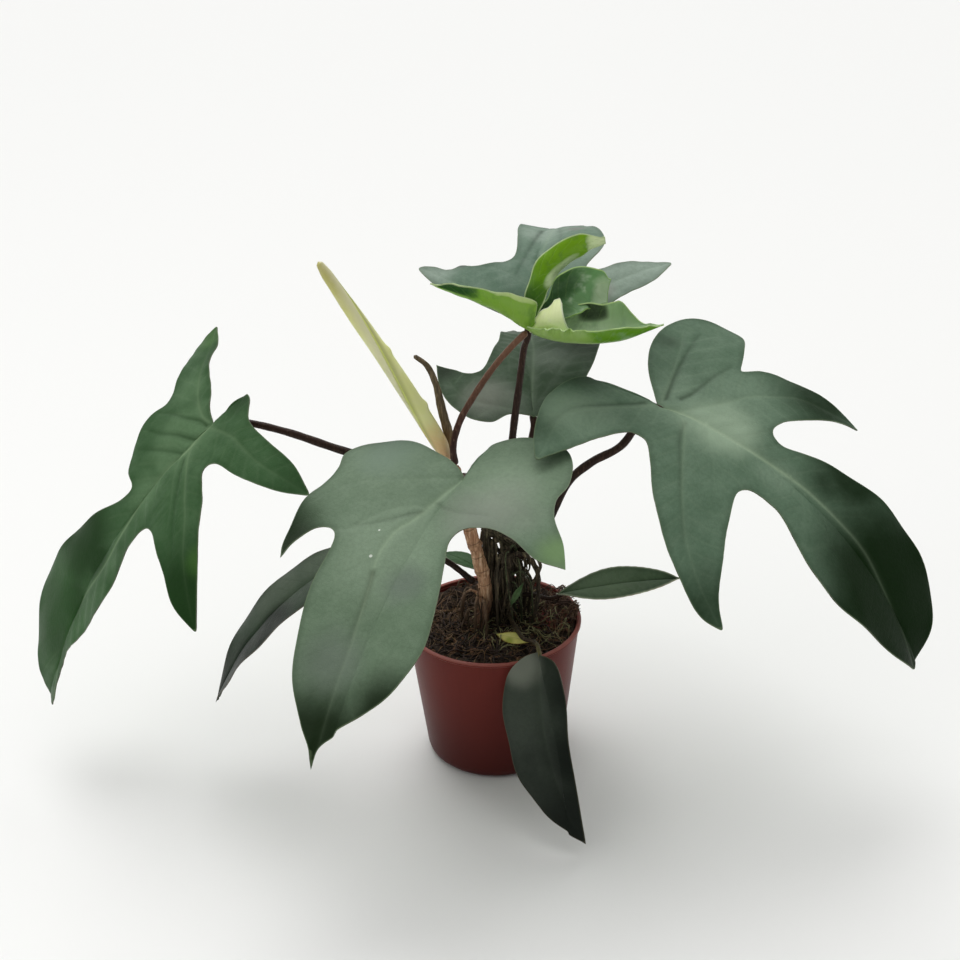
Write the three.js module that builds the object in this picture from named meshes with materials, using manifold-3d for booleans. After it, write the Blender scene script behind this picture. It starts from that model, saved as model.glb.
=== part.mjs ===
// Potted airplane philodendron: lobed leaves on dark petioles, two shoots, root ball and round nursery pot.
// Millimetres, +Z up, origin at the middle of the underside of the pot. +X is right, -Y is the front.
import * as THREE from 'three';
import { mergeVertices } from 'three/addons/utils/BufferGeometryUtils.js';
import Module from 'manifold-3d';

const wasm = await Module();
wasm.setup();

// driving sizes
const gap = 0.3;
const potHeight = 100;
const rimRadius = 60;
const baseRadius = 48;
const bottomRound = 7;
const wall = 1.6;
const lipWidth = 1.2;
const lipHeight = 2.5;
const lipRound = 0.6;
const soilTop = 92;
const floorThickness = 2.2;
const drainHoles = 6;
const drainRadius = 4;
const drainCircle = 30;
const soilDip = 2.5;
const socketClearance = 0.7;
const fibreCount = 20;
const leafThickness = 0.8;
const meshStep = 12;
const edgeStep = 10;

// materials
const finish = (colour, roughness) => new THREE.MeshStandardMaterial({
  color: colour, roughness, metalness: 0, side: THREE.DoubleSide,
});
const matureGreen = finish(0x6f8a74, 0.42);
const deepGreen = finish(0x2f4a2c, 0.42);
const youngGreen = finish(0x6f9a2a, 0.45);
const darkLeaf = finish(0x333f38, 0.4);
const petioleBrown = finish(0x3a2422, 0.45);
const petioleRed = finish(0x4c2a26, 0.45);
const spearGreen = finish(0x9aa860, 0.5);
const sheathBrown = finish(0x5a4a30, 0.8);
const bark = finish(0x73553f, 0.85);
const darkBark = finish(0x2e241c, 0.85);
const peat = finish(0x2c2019, 0.97);
const terracottaPlastic = finish(0x6a2c24, 0.38);
const yellowLeaf = finish(0xa8a844, 0.6);

// repeatable random numbers
const randomFrom = (seed) => {
  let state = seed;
  return () => {
    state = (state * 1664525 + 1013904223) % 4294967296;
    return state / 4294967296;
  };
};

// booleans
const toSolid = (geometry) => {
  const bare = geometry.index ? geometry.toNonIndexed() : geometry.clone();
  bare.deleteAttribute('normal');
  bare.deleteAttribute('uv');
  const welded = mergeVertices(bare, 1e-4);
  return new wasm.Manifold(new wasm.Mesh({
    numProp: 3,
    vertProperties: new Float32Array(welded.attributes.position.array),
    triVerts: new Uint32Array(welded.index.array),
  }));
};

const toGeometry = (solid) => {
  const mesh = solid.getMesh();
  const geometry = new THREE.BufferGeometry();
  geometry.setAttribute('position', new THREE.BufferAttribute(new Float32Array(mesh.vertProperties), 3));
  geometry.setIndex(new THREE.BufferAttribute(new Uint32Array(mesh.triVerts), 1));
  return geometry;
};

const joined = (geometries) => toGeometry(
  geometries.map(toSolid).reduce((whole, piece) => whole.add(piece)),
);

const named = (name, geometry, material) => {
  const mesh = new THREE.Mesh(geometry, material);
  mesh.name = name;
  geometry.computeVertexNormals();
  return mesh;
};

// the arched plane that a leaf blade follows: u runs across it, v along its midrib from the petiole joint
class BladeSurface {
  constructor({ joint, heading, pitchStart, pitchEnd, length, roll = 0, fold = 10, droop = 220 }) {
    this.joint = new THREE.Vector3(...joint);
    this.length = length;
    this.start = THREE.MathUtils.degToRad(pitchStart);
    this.bend = THREE.MathUtils.degToRad(pitchEnd - pitchStart) / length;
    this.roll = THREE.MathUtils.degToRad(roll);
    this.fold = THREE.MathUtils.degToRad(fold);
    this.droop = droop;
    const angle = THREE.MathUtils.degToRad(heading);
    this.ahead = new THREE.Vector3(Math.cos(angle), Math.sin(angle), 0);
    this.up = new THREE.Vector3(0, 0, 1);
    this.right = this.ahead.clone().cross(this.up);
  }

  point(u, v, lift = 0) {
    const along = THREE.MathUtils.clamp(v, 0, this.length);
    const pitch = this.start + this.bend * along;
    const forward = (Math.sin(pitch) - Math.sin(this.start)) / this.bend + (v - along) * Math.cos(pitch);
    const climb = (Math.cos(this.start) - Math.cos(pitch)) / this.bend + (v - along) * Math.sin(pitch);
    const flatNormal = this.up.clone().multiplyScalar(Math.cos(pitch))
      .addScaledVector(this.ahead, -Math.sin(pitch));
    const across = this.right.clone().multiplyScalar(Math.cos(this.roll))
      .addScaledVector(flatNormal, Math.sin(this.roll));
    const normal = flatNormal.multiplyScalar(Math.cos(this.roll))
      .addScaledVector(this.right, -Math.sin(this.roll));
    const lean = this.fold - Math.abs(u) / this.droop;
    const sideways = Math.sign(u) * this.droop * (Math.sin(this.fold) - Math.sin(lean));
    const rise = this.droop * (Math.cos(lean) - Math.cos(this.fold));
    const tilt = Math.sign(u) * lean;
    return this.joint.clone()
      .addScaledVector(this.ahead, forward)
      .addScaledVector(this.up, climb)
      .addScaledVector(across, sideways - lift * Math.sin(tilt))
      .addScaledVector(normal, rise + lift * Math.cos(tilt));
  }
}

// outline of a blade: smooth runs that meet at the sharp tips of the lobes and at the joint
const smoothRun = (points, step) => {
  const curve = new THREE.CatmullRomCurve3(
    points.map(([u, v]) => new THREE.Vector3(u, v, 0)), false, 'centripetal',
  );
  const count = Math.max(2, Math.round(curve.getLength() / step));
  return curve.getSpacedPoints(count).slice(0, -1).map((p) => [p.x, p.y]);
};

const signedArea = (ring) => ring.reduce((sum, [x, y], i) => {
  const [nx, ny] = ring[(i + 1) % ring.length];
  return sum + (x * ny - nx * y) / 2;
}, 0);

const inside = ([x, y], ring) => {
  let odd = false;
  ring.forEach(([ax, ay], i) => {
    const [bx, by] = ring[(i + 1) % ring.length];
    if ((ay > y) !== (by > y) && x < ax + ((y - ay) / (by - ay)) * (bx - ax)) odd = !odd;
  });
  return odd;
};

const nearEdge = ([x, y], ring, reach) => ring.some(([ax, ay], i) => {
  const [bx, by] = ring[(i + 1) % ring.length];
  const span = (bx - ax) ** 2 + (by - ay) ** 2;
  const t = THREE.MathUtils.clamp(((x - ax) * (bx - ax) + (y - ay) * (by - ay)) / span, 0, 1);
  return Math.hypot(x - ax - t * (bx - ax), y - ay - t * (by - ay)) < reach;
});

// Delaunay triangles of a set of points, added one at a time
const delaunay = (points) => {
  const far = 5000;
  const all = [...points, [-far, -far], [far, -far], [0, far]];
  const n = points.length;
  const circle = (a, b, c) => {
    const [ax, ay] = all[a];
    const [bx, by] = all[b];
    const [cx, cy] = all[c];
    const d = 2 * (ax * (by - cy) + bx * (cy - ay) + cx * (ay - by));
    const x = ((ax * ax + ay * ay) * (by - cy) + (bx * bx + by * by) * (cy - ay)
      + (cx * cx + cy * cy) * (ay - by)) / d;
    const y = ((ax * ax + ay * ay) * (cx - bx) + (bx * bx + by * by) * (ax - cx)
      + (cx * cx + cy * cy) * (bx - ax)) / d;
    return { corners: [a, b, c], x, y, reach: Math.hypot(ax - x, ay - y) };
  };
  let triangles = [circle(n, n + 1, n + 2)];
  points.forEach(([px, py], index) => {
    const open = new Map();
    triangles = triangles.filter((t) => {
      if (Math.hypot(px - t.x, py - t.y) >= t.reach) return true;
      t.corners.forEach((a, k) => {
        const b = t.corners[(k + 1) % 3];
        if (!open.delete(`${b} ${a}`)) open.set(`${a} ${b}`, [a, b]);
      });
      return false;
    });
    open.forEach(([a, b]) => triangles.push(circle(a, b, index)));
  });
  return triangles.map((t) => t.corners).filter((corners) => corners.every((c) => c < n));
};

// flat mesh of an outline; an edge that the triangles miss is halved and the mesh is made again
const fillOutline = (outline, step) => {
  let ring = outline;
  for (;;) {
    const inner = [];
    const column = step * Math.sqrt(0.75);
    const [umin, umax] = [Math.min(...ring.map((p) => p[0])), Math.max(...ring.map((p) => p[0]))];
    const [vmin, vmax] = [Math.min(...ring.map((p) => p[1])), Math.max(...ring.map((p) => p[1]))];
    for (let i = Math.ceil(umin / column); i * column < umax; i += 1) {
      for (let v = vmin + (i % 2 ? step / 2 : 0); v < vmax; v += step) {
        const point = [i * column, v];
        if (inside(point, ring) && !nearEdge(point, ring, step * 0.5)) inner.push(point);
      }
    }
    const points = [...ring, ...inner];
    const triangles = delaunay(points).filter((corners) => {
      const centre = [0, 1].map((k) => corners.reduce((sum, c) => sum + points[c][k] / 3, 0));
      return inside(centre, ring);
    });
    const edges = new Set(triangles.flatMap(([a, b, c]) => [`${a} ${b}`, `${b} ${c}`, `${c} ${a}`]));
    const missed = ring.map((_, i) => i).filter((i) => !edges.has(`${i} ${(i + 1) % ring.length}`));
    if (missed.length === 0) return { points, triangles, rim: ring.length };
    const current = ring;
    ring = current.flatMap((p, i) => {
      const q = current[(i + 1) % current.length];
      return missed.includes(i) ? [p, [(p[0] + q[0]) / 2, (p[1] + q[1]) / 2]] : [p];
    });
  }
};

// closed solid between two skins that share one triangle pattern
const betweenSkins = (topPoints, bottomPoints, triangles, rim) => {
  const n = topPoints.length;
  const faces = triangles.flatMap(([a, b, c]) => [a, b, c, c + n, b + n, a + n]);
  for (let i = 0; i < rim; i += 1) {
    const j = (i + 1) % rim;
    faces.push(i + n, j + n, j, i + n, j, i);
  }
  const geometry = new THREE.BufferGeometry().setFromPoints([...topPoints, ...bottomPoints]);
  geometry.setIndex(faces);
  return geometry;
};

const bladeSolid = (surface, runs, { step = meshStep, border = edgeStep } = {}) => {
  const outline = runs.flatMap((run) => smoothRun(run, border));
  const ring = signedArea(outline) > 0 ? outline : outline.reverse();
  const { points, triangles, rim } = fillOutline(ring, step);
  const skin = (lift) => points.map(([u, v]) => surface.point(u, v, lift));
  return betweenSkins(skin(leafThickness / 2), skin(-leafThickness / 2), triangles, rim);
};

// outline of a plain lance-shaped leaf, both sides from its width formula
const lanceOutline = (length, width, widest = 0.42) => {
  const half = (t) => (width / 2) * Math.sin(Math.PI * t ** (Math.log(0.5) / Math.log(widest))) ** 0.8;
  const side = [0, 0.06, 0.18, 0.34, 0.5, 0.66, 0.82, 0.93, 1].map((t) => [half(t), length * t]);
  side[0][0] = 0;
  side[side.length - 1][0] = 0;
  return [side, side.map(([u, v]) => [-u, v]).reverse()];
};

// round tube along a curve, its radius given at each part of the way
const taperedTube = (points, radiusAt, { steps = 14, sides = 8 } = {}) => {
  const path = new THREE.CatmullRomCurve3(points.map((p) => new THREE.Vector3(...p)), false, 'centripetal');
  const section = new THREE.Shape().absarc(0, 0, 1, 0, Math.PI * 2);
  const geometry = new THREE.ExtrudeGeometry(section, {
    steps, extrudePath: path, bevelEnabled: false, curveSegments: sides / 2,
  });
  const centres = path.getSpacedPoints(steps);
  const vertex = new THREE.Vector3();
  const positions = geometry.attributes.position;
  for (let i = 0; i < positions.count; i += 1) {
    vertex.fromBufferAttribute(positions, i);
    const distances = centres.map((c) => c.distanceToSquared(vertex));
    const nearest = distances.indexOf(Math.min(...distances));
    vertex.sub(centres[nearest]).multiplyScalar(radiusAt(nearest / steps)).add(centres[nearest]);
    positions.setXYZ(i, vertex.x, vertex.y, vertex.z);
  }
  return geometry;
};

// the last two points of a petiole, which ends just below its blade and runs along the midrib
const petioleEnd = (surface, radius, run = 5) => {
  const below = -(leafThickness / 2 + gap + radius);
  const sag = 1.2;
  return [surface.point(0, -run, below - sag).toArray(), surface.point(0, run, below).toArray()];
};

// pot: thin wall with a small lip, rounded at the foot, drain holes round the floor
const pot = () => {
  const roundFoot = [0, 1, 2, 3].map((i) => {
    const angle = (i / 3) * (Math.PI / 2);
    return [baseRadius - bottomRound + bottomRound * Math.sin(angle), bottomRound * (1 - Math.cos(angle))];
  });
  const profile = [
    [0, 0], ...roundFoot,
    [rimRadius - lipWidth, potHeight - lipHeight],
    [rimRadius, potHeight - lipHeight + lipRound],
    [rimRadius, potHeight - lipRound],
    [rimRadius - lipRound, potHeight],
    [rimRadius - lipWidth - wall, potHeight],
    [baseRadius - wall, bottomRound + wall],
    [baseRadius - bottomRound, floorThickness],
    [0, floorThickness],
  ];
  const body = new THREE.LatheGeometry(profile.map(([r, z]) => new THREE.Vector2(r, z)), 40)
    .rotateX(Math.PI / 2);
  let solid = toSolid(body);
  for (let i = 0; i < drainHoles; i += 1) {
    const angle = (i / drainHoles) * 2 * Math.PI;
    const hole = new THREE.CylinderGeometry(drainRadius, drainRadius, 4 * floorThickness, 12)
      .rotateX(Math.PI / 2)
      .translate(drainCircle * Math.cos(angle), drainCircle * Math.sin(angle), 0);
    solid = solid.subtract(toSolid(hole));
  }
  return named('pot', toGeometry(solid), terracottaPlastic);
};

// middle line and radius of each shoot, from below the soil up to its growing tip
const mainPath = [
  [-3, 1, 62], [-4, 0, 94], [-5, -1, 118], [-7, -2, 140], [-13, -3, 165], [-19, -2, 190], [-23.5, 0, 215],
];
const mainRadius = (t) => 5.2 - 1.2 * t + 0.5 * Math.sin(t * 40);
const sidePath = [[8, 8, 62], [7, 8, 92], [8, 8, 112], [9, 9, 132], [11, 10, 152]];
const sideRadius = (t) => 6 - 1.4 * t + 0.4 * Math.sin(t * 30);

// soil surface: a low mound round the shoots with lumps
const soilHeight = (x, y) => soilTop + 2.5 * Math.exp(-(x * x + y * y) / 500)
  + 1.1 * Math.sin(0.33 * x + 1.3) * Math.cos(0.29 * y + 0.4)
  + 0.7 * Math.sin(0.61 * x - 0.52 * y);

// hole in the soil that a shoot stands in
const socketFor = (path, radiusAt) => {
  const [[x, y, z], ...rest] = path;
  const wider = (t) => radiusAt(t) + socketClearance;
  return taperedTube([[x, y, z - 2 * gap], ...rest], wider, { sides: 12, steps: 20 });
};

// inner radius of the pot at a height
const potInside = (z) => baseRadius - wall
  + (rimRadius - lipWidth - baseRadius) * ((z - bottomRound - wall) / (potHeight - bottomRound - wall));

const soil = () => {
  const edge = potInside(soilTop - soilDip) - gap;
  const rings = [1, 0.84, 0.66, 0.48, 0.3].map((part) => edge * part);
  const profile = [
    [0, floorThickness + gap], [baseRadius - bottomRound - gap, floorThickness + gap],
    [baseRadius - wall - gap, bottomRound + wall + gap],
    [edge, soilTop - 1.5], ...rings.map((r) => [r, soilTop]), [0, soilTop],
  ];
  const body = new THREE.LatheGeometry(profile.map(([r, z]) => new THREE.Vector2(r, z)), 40)
    .rotateX(Math.PI / 2);
  const positions = body.attributes.position;
  for (let i = 0; i < positions.count; i += 1) {
    if (positions.getZ(i) > soilTop - 0.5) {
      positions.setZ(i, soilHeight(positions.getX(i), positions.getY(i)));
    }
  }
  let solid = toSolid(body);
  const random = randomFrom(7);
  for (let i = 0; i < fibreCount; i += 1) {
    const angle = i * 2.4;
    const r = 20 + 28 * random();
    const turn = angle + 1.2 + random();
    const reach = 5 + 6 * random();
    const at = (side, lift) => {
      const x = r * Math.cos(angle) + side * reach * Math.cos(turn);
      const y = r * Math.sin(angle) + side * reach * Math.sin(turn);
      return [x, y, soilHeight(x, y) + lift];
    };
    const arch = [at(-1, -0.8), at(-0.4, 1 + 1.5 * random()), at(0.4, 1), at(1, -0.8)];
    solid = solid.add(toSolid(taperedTube(arch, () => 0.8, { steps: 3, sides: 4 })));
  }
  solid = solid.subtract(toSolid(socketFor(mainPath, mainRadius)));
  solid = solid.subtract(toSolid(socketFor(sidePath, sideRadius)));
  return named('root_ball', toGeometry(solid), peat);
};

// a shoot with the aerial roots that grow from it and bend down to the soil
const shoot = (name, path, radiusAt, material, { rootCount, seed, sector, longRoots = [] }) => {
  const random = randomFrom(seed);
  const pieces = [taperedTube(path, radiusAt, { sides: 10, steps: 20 })];
  longRoots.forEach((points) => pieces.push(taperedTube(points, () => 1.5, { steps: 10, sides: 6 })));
  for (let i = 0; i < rootCount; i += 1) {
    const angle = sector[0] + (sector[1] - sector[0]) * ((i + random()) / rootCount);
    const reach = 11 + 9 * random();
    const [x, y] = path[1];
    const from = 106 + 14 * random();
    const at = (r, z) => [x + r * Math.cos(angle), y + r * Math.sin(angle), z];
    const [ex, ey] = at(reach, 0);
    const end = soilHeight(ex, ey) + 2.2;
    pieces.push(taperedTube(
      [at(1, from), at(reach * 0.55, from + 3), at(reach * 0.9, from - 5), at(reach, end)],
      (t) => 1.3 - 0.4 * t,
      { steps: 6, sides: 6 },
    ));
  }
  return named(name, joined(pieces), material);
};

// big lobed leaves: where each one sits, and its outline from the joint round to the joint again
const rightBlade = new BladeSurface({
  joint: [107, -15, 259], heading: -28, pitchStart: -13, pitchEnd: -66, length: 231, roll: -14,
  fold: 10, droop: 240,
});
const rightOutline = [
  [[0, 0], [-14, -12], [-30, -22], [-52, -29], [-82, -28], [-100, -18], [-105, 0], [-101, 15], [-82, 23],
    [-59, 29]],
  [[-59, 29], [-72, 42], [-81, 64], [-84, 88], [-82, 107]],
  [[-82, 107], [-72, 94], [-52, 77], [-34, 67], [-25, 66], [-21, 73], [-26, 89], [-38, 115], [-47, 150],
    [-46, 180], [-36, 207], [-18, 223], [8, 233]],
  [[8, 233], [22, 214], [36, 185], [45, 155], [45, 138], [37, 117], [29, 95], [29, 78], [38, 72], [64, 80],
    [92, 94], [110, 108], [119, 120]],
  [[119, 120], [122, 104], [114, 80], [98, 54], [76, 32], [53, 17], [38, 6], [37, -4], [50, -15],
    [68, -29], [88, -42]],
  [[88, -42], [74, -51], [52, -59], [28, -62], [8, -56], [-3, -40], [-3, -20], [0, 0]],
];

const leftBlade = new BladeSurface({
  joint: [-178, 12, 243.4], heading: 195, pitchStart: -38, pitchEnd: -72, length: 230, roll: 16,
  fold: 10, droop: 180,
});
const leftOutline = [
  [[0, 0], [-2, -6], [4, -18], [0, -29], [-12, -30], [-27, -23], [-53, -26], [-81, -31], [-106, -28]],
  [[-106, -28], [-89, -14], [-57, 3], [-36, 11], [-33, 18], [-57, 35], [-95, 70], [-104, 80], [-113, 93]],
  [[-113, 93], [-89, 91], [-57, 79], [-35, 73], [-24, 77], [-23, 88], [-29, 115], [-29, 144], [-20, 170],
    [-10, 190], [-9, 206], [-16, 226]],
  [[-16, 226], [8, 225], [37, 206], [55, 182], [60, 165], [54, 141], [36, 107], [18, 80], [15, 70],
    [31, 67]],
  [[31, 67], [45, 54], [55, 34], [53, 19], [68, 4], [87, -13], [91, -35]],
  [[91, -35], [65, -29], [54, -21], [39, -15], [24, -10], [10, -3], [0, 0]],
];

const frontBlade = new BladeSurface({
  joint: [-16.6, -58, 232.9], heading: 240, pitchStart: -13, pitchEnd: -58, length: 205, roll: 0,
  fold: 10, droop: 250,
});
const frontOutline = [
  [[0, 0], [9, -7], [20, -13], [40, -18], [60, -16], [77, -9], [84, 3], [81, 16], [83, 32], [87, 46],
    [86, 66], [83, 80], [78, 90]],
  [[78, 90], [76, 78], [68, 66], [56, 64], [50, 69], [49, 95], [43, 132], [34, 159], [20, 178], [8, 198]],
  [[8, 198], [4, 181], [-8, 165], [-24, 146], [-34, 122], [-34, 98], [-25, 68], [-21, 52], [-25, 42],
    [-38, 38], [-56, 42], [-75, 50], [-93, 51]],
  [[-93, 51], [-84, 34], [-71, 18], [-66, 4], [-66, -12], [-60, -30], [-49, -42], [-34, -46], [-15, -43],
    [-3, -37], [2, -24], [0, 0]],
];

const crownBlade = new BladeSurface({
  joint: [26, 13, 303], heading: 80, pitchStart: 45, pitchEnd: -38, length: 175, roll: 0, fold: 10, droop: 240,
});
const crownOutline = [
  [[0, 0], [-15, 7], [-45, 19], [-65, 30], [-78, 44]],
  [[-78, 44], [-66, 44], [-55, 41], [-49, 47]],
  [[-49, 47], [-40, 44], [-28, 48], [-18, 52], [-15, 60], [-17, 85], [-20, 112], [-17, 140], [4, 176]],
  [[4, 176], [20, 146], [31, 114], [42, 86], [42, 66], [34, 50], [33, 44], [42, 44], [60, 53], [89, 59]],
  [[89, 59], [79, 40], [63, 27], [42, 9], [20, 2], [0, 0]],
];

const backBlade = new BladeSurface({
  joint: [30, 30, 235], heading: 92, pitchStart: 25, pitchEnd: -26, length: 174, roll: 0, fold: 10, droop: 200,
});
const backOutline = [
  [[0, 0], [-17, 1], [-28, -5], [-42, -2], [-54, 11], [-61, 30], [-63, 61]],
  [[-63, 61], [-52, 50], [-42, 42], [-34, 45], [-30, 52], [-25, 68], [-18, 98], [-12, 138], [4, 174]],
  [[4, 174], [30, 150], [50, 118], [55, 92], [49, 62], [40, 36], [28, 10], [14, 0], [0, 0]],
];

// plain lance-shaped leaves of the young side growths
const lowLeftBlade = new BladeSurface({
  joint: [-68, 3, 158], heading: 190, pitchStart: -13, pitchEnd: -69, length: 172, roll: 4, fold: 12, droop: 120,
});
const droopBlade = new BladeSurface({
  joint: [27, -65, 112.5], heading: -74, pitchStart: -45, pitchEnd: -76, length: 128, roll: -35,
  fold: -6, droop: 140,
});
const droopOutline = [
  [[0, 0], [12, 1], [27, 9], [35, 30], [36, 58], [30, 84], [16, 104], [-1, 117], [-11, 124]],
  [[-11, 124], [-10, 100], [-9, 60], [-12, 30], [-10, 9], [0, 0]],
];
const smallRightBlade = new BladeSurface({
  joint: [43, 4, 114.5], heading: -6, pitchStart: 16, pitchEnd: 4, length: 86, roll: -25, fold: 10, droop: 90,
});
const smallBackBlade = new BladeSurface({
  joint: [-6, 17, 126], heading: 142, pitchStart: 20, pitchEnd: -10, length: 38, roll: 0, fold: 12, droop: 60,
});
const yellowBlade = new BladeSurface({
  joint: [25, -33, 99.4], heading: 148, pitchStart: 2, pitchEnd: -8, length: 29, roll: 22, fold: -20, droop: -14,
});

const lanceLeaf = (name, surface, width, material, widest) => named(
  name,
  bladeSolid(surface, lanceOutline(surface.length, width, widest), { step: 10, border: 9 }),
  material,
);

const lobedLeaf = (name, surface, outline, material) => named(name, bladeSolid(surface, outline), material);

// petiole with its path, thicker towards the shoot
const petiole = (name, points, [thick, thin], material, steps = 14) => named(
  name,
  taperedTube(points, (t) => thick + (thin - thick) * t, { steps, sides: 8 }),
  material,
);

// value at t between the stops [t, value, value, ...], eased from each stop to the next
const eased = (t, stops) => {
  const next = Math.max(1, stops.findIndex(([stop]) => stop >= t));
  const [from, to] = [stops[next - 1], stops[next]];
  const share = THREE.MathUtils.smoothstep(t, from[0], to[0]);
  return from.slice(1).map((value, i) => THREE.MathUtils.lerp(value, to[i + 1], share));
};

// the newest leaf, still rolled up into a spear, and the dry sheath that it came out of
const spearGirth = [[0, 2.8], [0.1, 5.2], [0.35, 5.2], [0.65, 4.7], [0.93, 3.8], [1, 2.6]];
const spear = () => named('spear', taperedTube(
  [[-27.2, 3.6, 215], [-29.6, 3.6, 224], [-42, 3, 249], [-62, 6, 284], [-82, 8, 317], [-102, 10, 350]],
  (t) => eased(t, spearGirth)[0],
  { steps: 14, sides: 10 },
), spearGreen);

const sheathGirth = [[0, 1.8], [0.2, 3], [0.45, 2.7], [0.75, 1.9], [1, 0.9]];
const sheath = () => named('sheath', taperedTube(
  [[-22.4, 7.1, 211], [-25, 9.6, 228], [-29.5, 8, 250], [-33, 7.5, 269], [-38, 8, 281], [-46, 8, 288]],
  (t) => eased(t, sheathGirth)[0],
  { steps: 12, sides: 8 },
), sheathBrown);

// strip of leaf curled round its own line, for the lobes of the leaf that is still unrolling;
// each stop of the profile is [t, radius, degrees curled on the near side, degrees on the far side]
const curledLobe = (points, [openFrom, openTo], profile, { rows = 12, columns = 8 } = {}) => {
  const path = new THREE.CatmullRomCurve3(points.map((p) => new THREE.Vector3(...p)));
  const place = (t, c, lift) => {
    const open = new THREE.Vector3(...openFrom).lerp(new THREE.Vector3(...openTo), t);
    const tangent = path.getTangentAt(t);
    const inward = open.addScaledVector(tangent, -open.dot(tangent)).normalize();
    const sideways = tangent.clone().cross(inward);
    const [radius, near, far] = eased(t, profile);
    const spread = (2 * c) / columns - 1;
    const bend = THREE.MathUtils.degToRad(spread * (spread < 0 ? near : far));
    return path.getPointAt(t)
      .addScaledVector(sideways, (radius - lift) * Math.sin(bend))
      .addScaledVector(inward, radius - (radius - lift) * Math.cos(bend));
  };
  const skin = (lift) => {
    const grid = [];
    for (let r = 0; r <= rows; r += 1) {
      for (let c = 0; c <= columns; c += 1) grid.push(place(r / rows, c, lift));
    }
    return grid;
  };
  const width = columns + 1;
  const triangles = [];
  for (let r = 0; r < rows; r += 1) {
    for (let c = 0; c < columns; c += 1) {
      const a = r * width + c;
      triangles.push([a, a + 1, a + width + 1], [a, a + width + 1, a + width]);
    }
  }
  const border = [
    ...Array.from({ length: columns }, (_, c) => c),
    ...Array.from({ length: rows }, (_, r) => r * width + columns),
    ...Array.from({ length: columns }, (_, c) => rows * width + columns - c),
    ...Array.from({ length: rows }, (_, r) => (rows - r) * width),
  ];
  const order = [...border, ...Array.from({ length: width * (rows + 1) }, (_, i) => i)
    .filter((i) => !border.includes(i))];
  const rank = new Map(order.map((old, now) => [old, now]));
  const sorted = (grid) => order.map((old) => grid[old]);
  return betweenSkins(
    sorted(skin(leafThickness / 2)), sorted(skin(-leafThickness / 2)),
    triangles.map((corners) => corners.map((c) => rank.get(c))), border.length,
  );
};

const youngLeaf = () => {
  const hub = [26, -2, 307];
  const left = curledLobe(
    [hub, [12, -5, 319], [-8, -8, 330], [-33, -12, 341]], [[0.1, 0.55, 0.8], [0, 0.8, 0.6]],
    [[0, 6, 70, 60], [0.12, 11, 95, 70], [0.3, 11, 75, 70], [0.5, 10, 55, 60], [0.8, 7, 45, 45], [1, 4, 5, 5]],
  );
  const rising = curledLobe(
    [hub, [27, 0, 323], [36, 7, 342], [53, 14, 352], [75, 22, 355]], [[0.35, 0.93, 0.1], [0.35, 0.93, 0.1]],
    [[0, 9, 30, 18], [0.3, 11, 48, 16], [0.55, 11, 55, 25], [0.8, 11, 40, 30], [1, 8, 12, 12]],
  );
  const inner = curledLobe(
    [hub, [43, 3, 321], [60, 7, 329], [76, 9, 326]], [[-0.25, -0.9, 0.3], [-0.25, -0.9, 0.3]],
    [[0, 16, 20, 20], [0.32, 17, 18, 40], [0.6, 17, 52, 55], [0.85, 15, 55, 50], [1, 12, 40, 35]],
  );
  const pale = curledLobe(
    [hub, [36, -6, 311], [42, -9, 313], [48, -11, 315]], [[-0.1, 0.8, -0.1], [-0.1, 0.8, -0.1]],
    [[0, 5, 30, 30], [0.5, 9, 50, 66], [0.8, 12, 42, 72], [1, 13, 30, 56]],
    { rows: 6, columns: 6 },
  );
  const right = curledLobe(
    [hub, [36, -6, 303], [57, -12, 301], [81, -18, 304], [107, -20, 314]], [[0, 0.1, 1], [0, 0.1, 1]],
    [[0, 8, 60, 60], [0.2, 14, 115, 75], [0.4, 13, 135, 80], [0.6, 12, 150, 80], [0.74, 12, 148, 80],
      [0.9, 6, 55, 70], [1, 3, 20, 20]],
    { rows: 16, columns: 12 },
  );
  return named('young_leaf_blade', joined([left, rising, inner, pale, right]), youngGreen);
};

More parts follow.
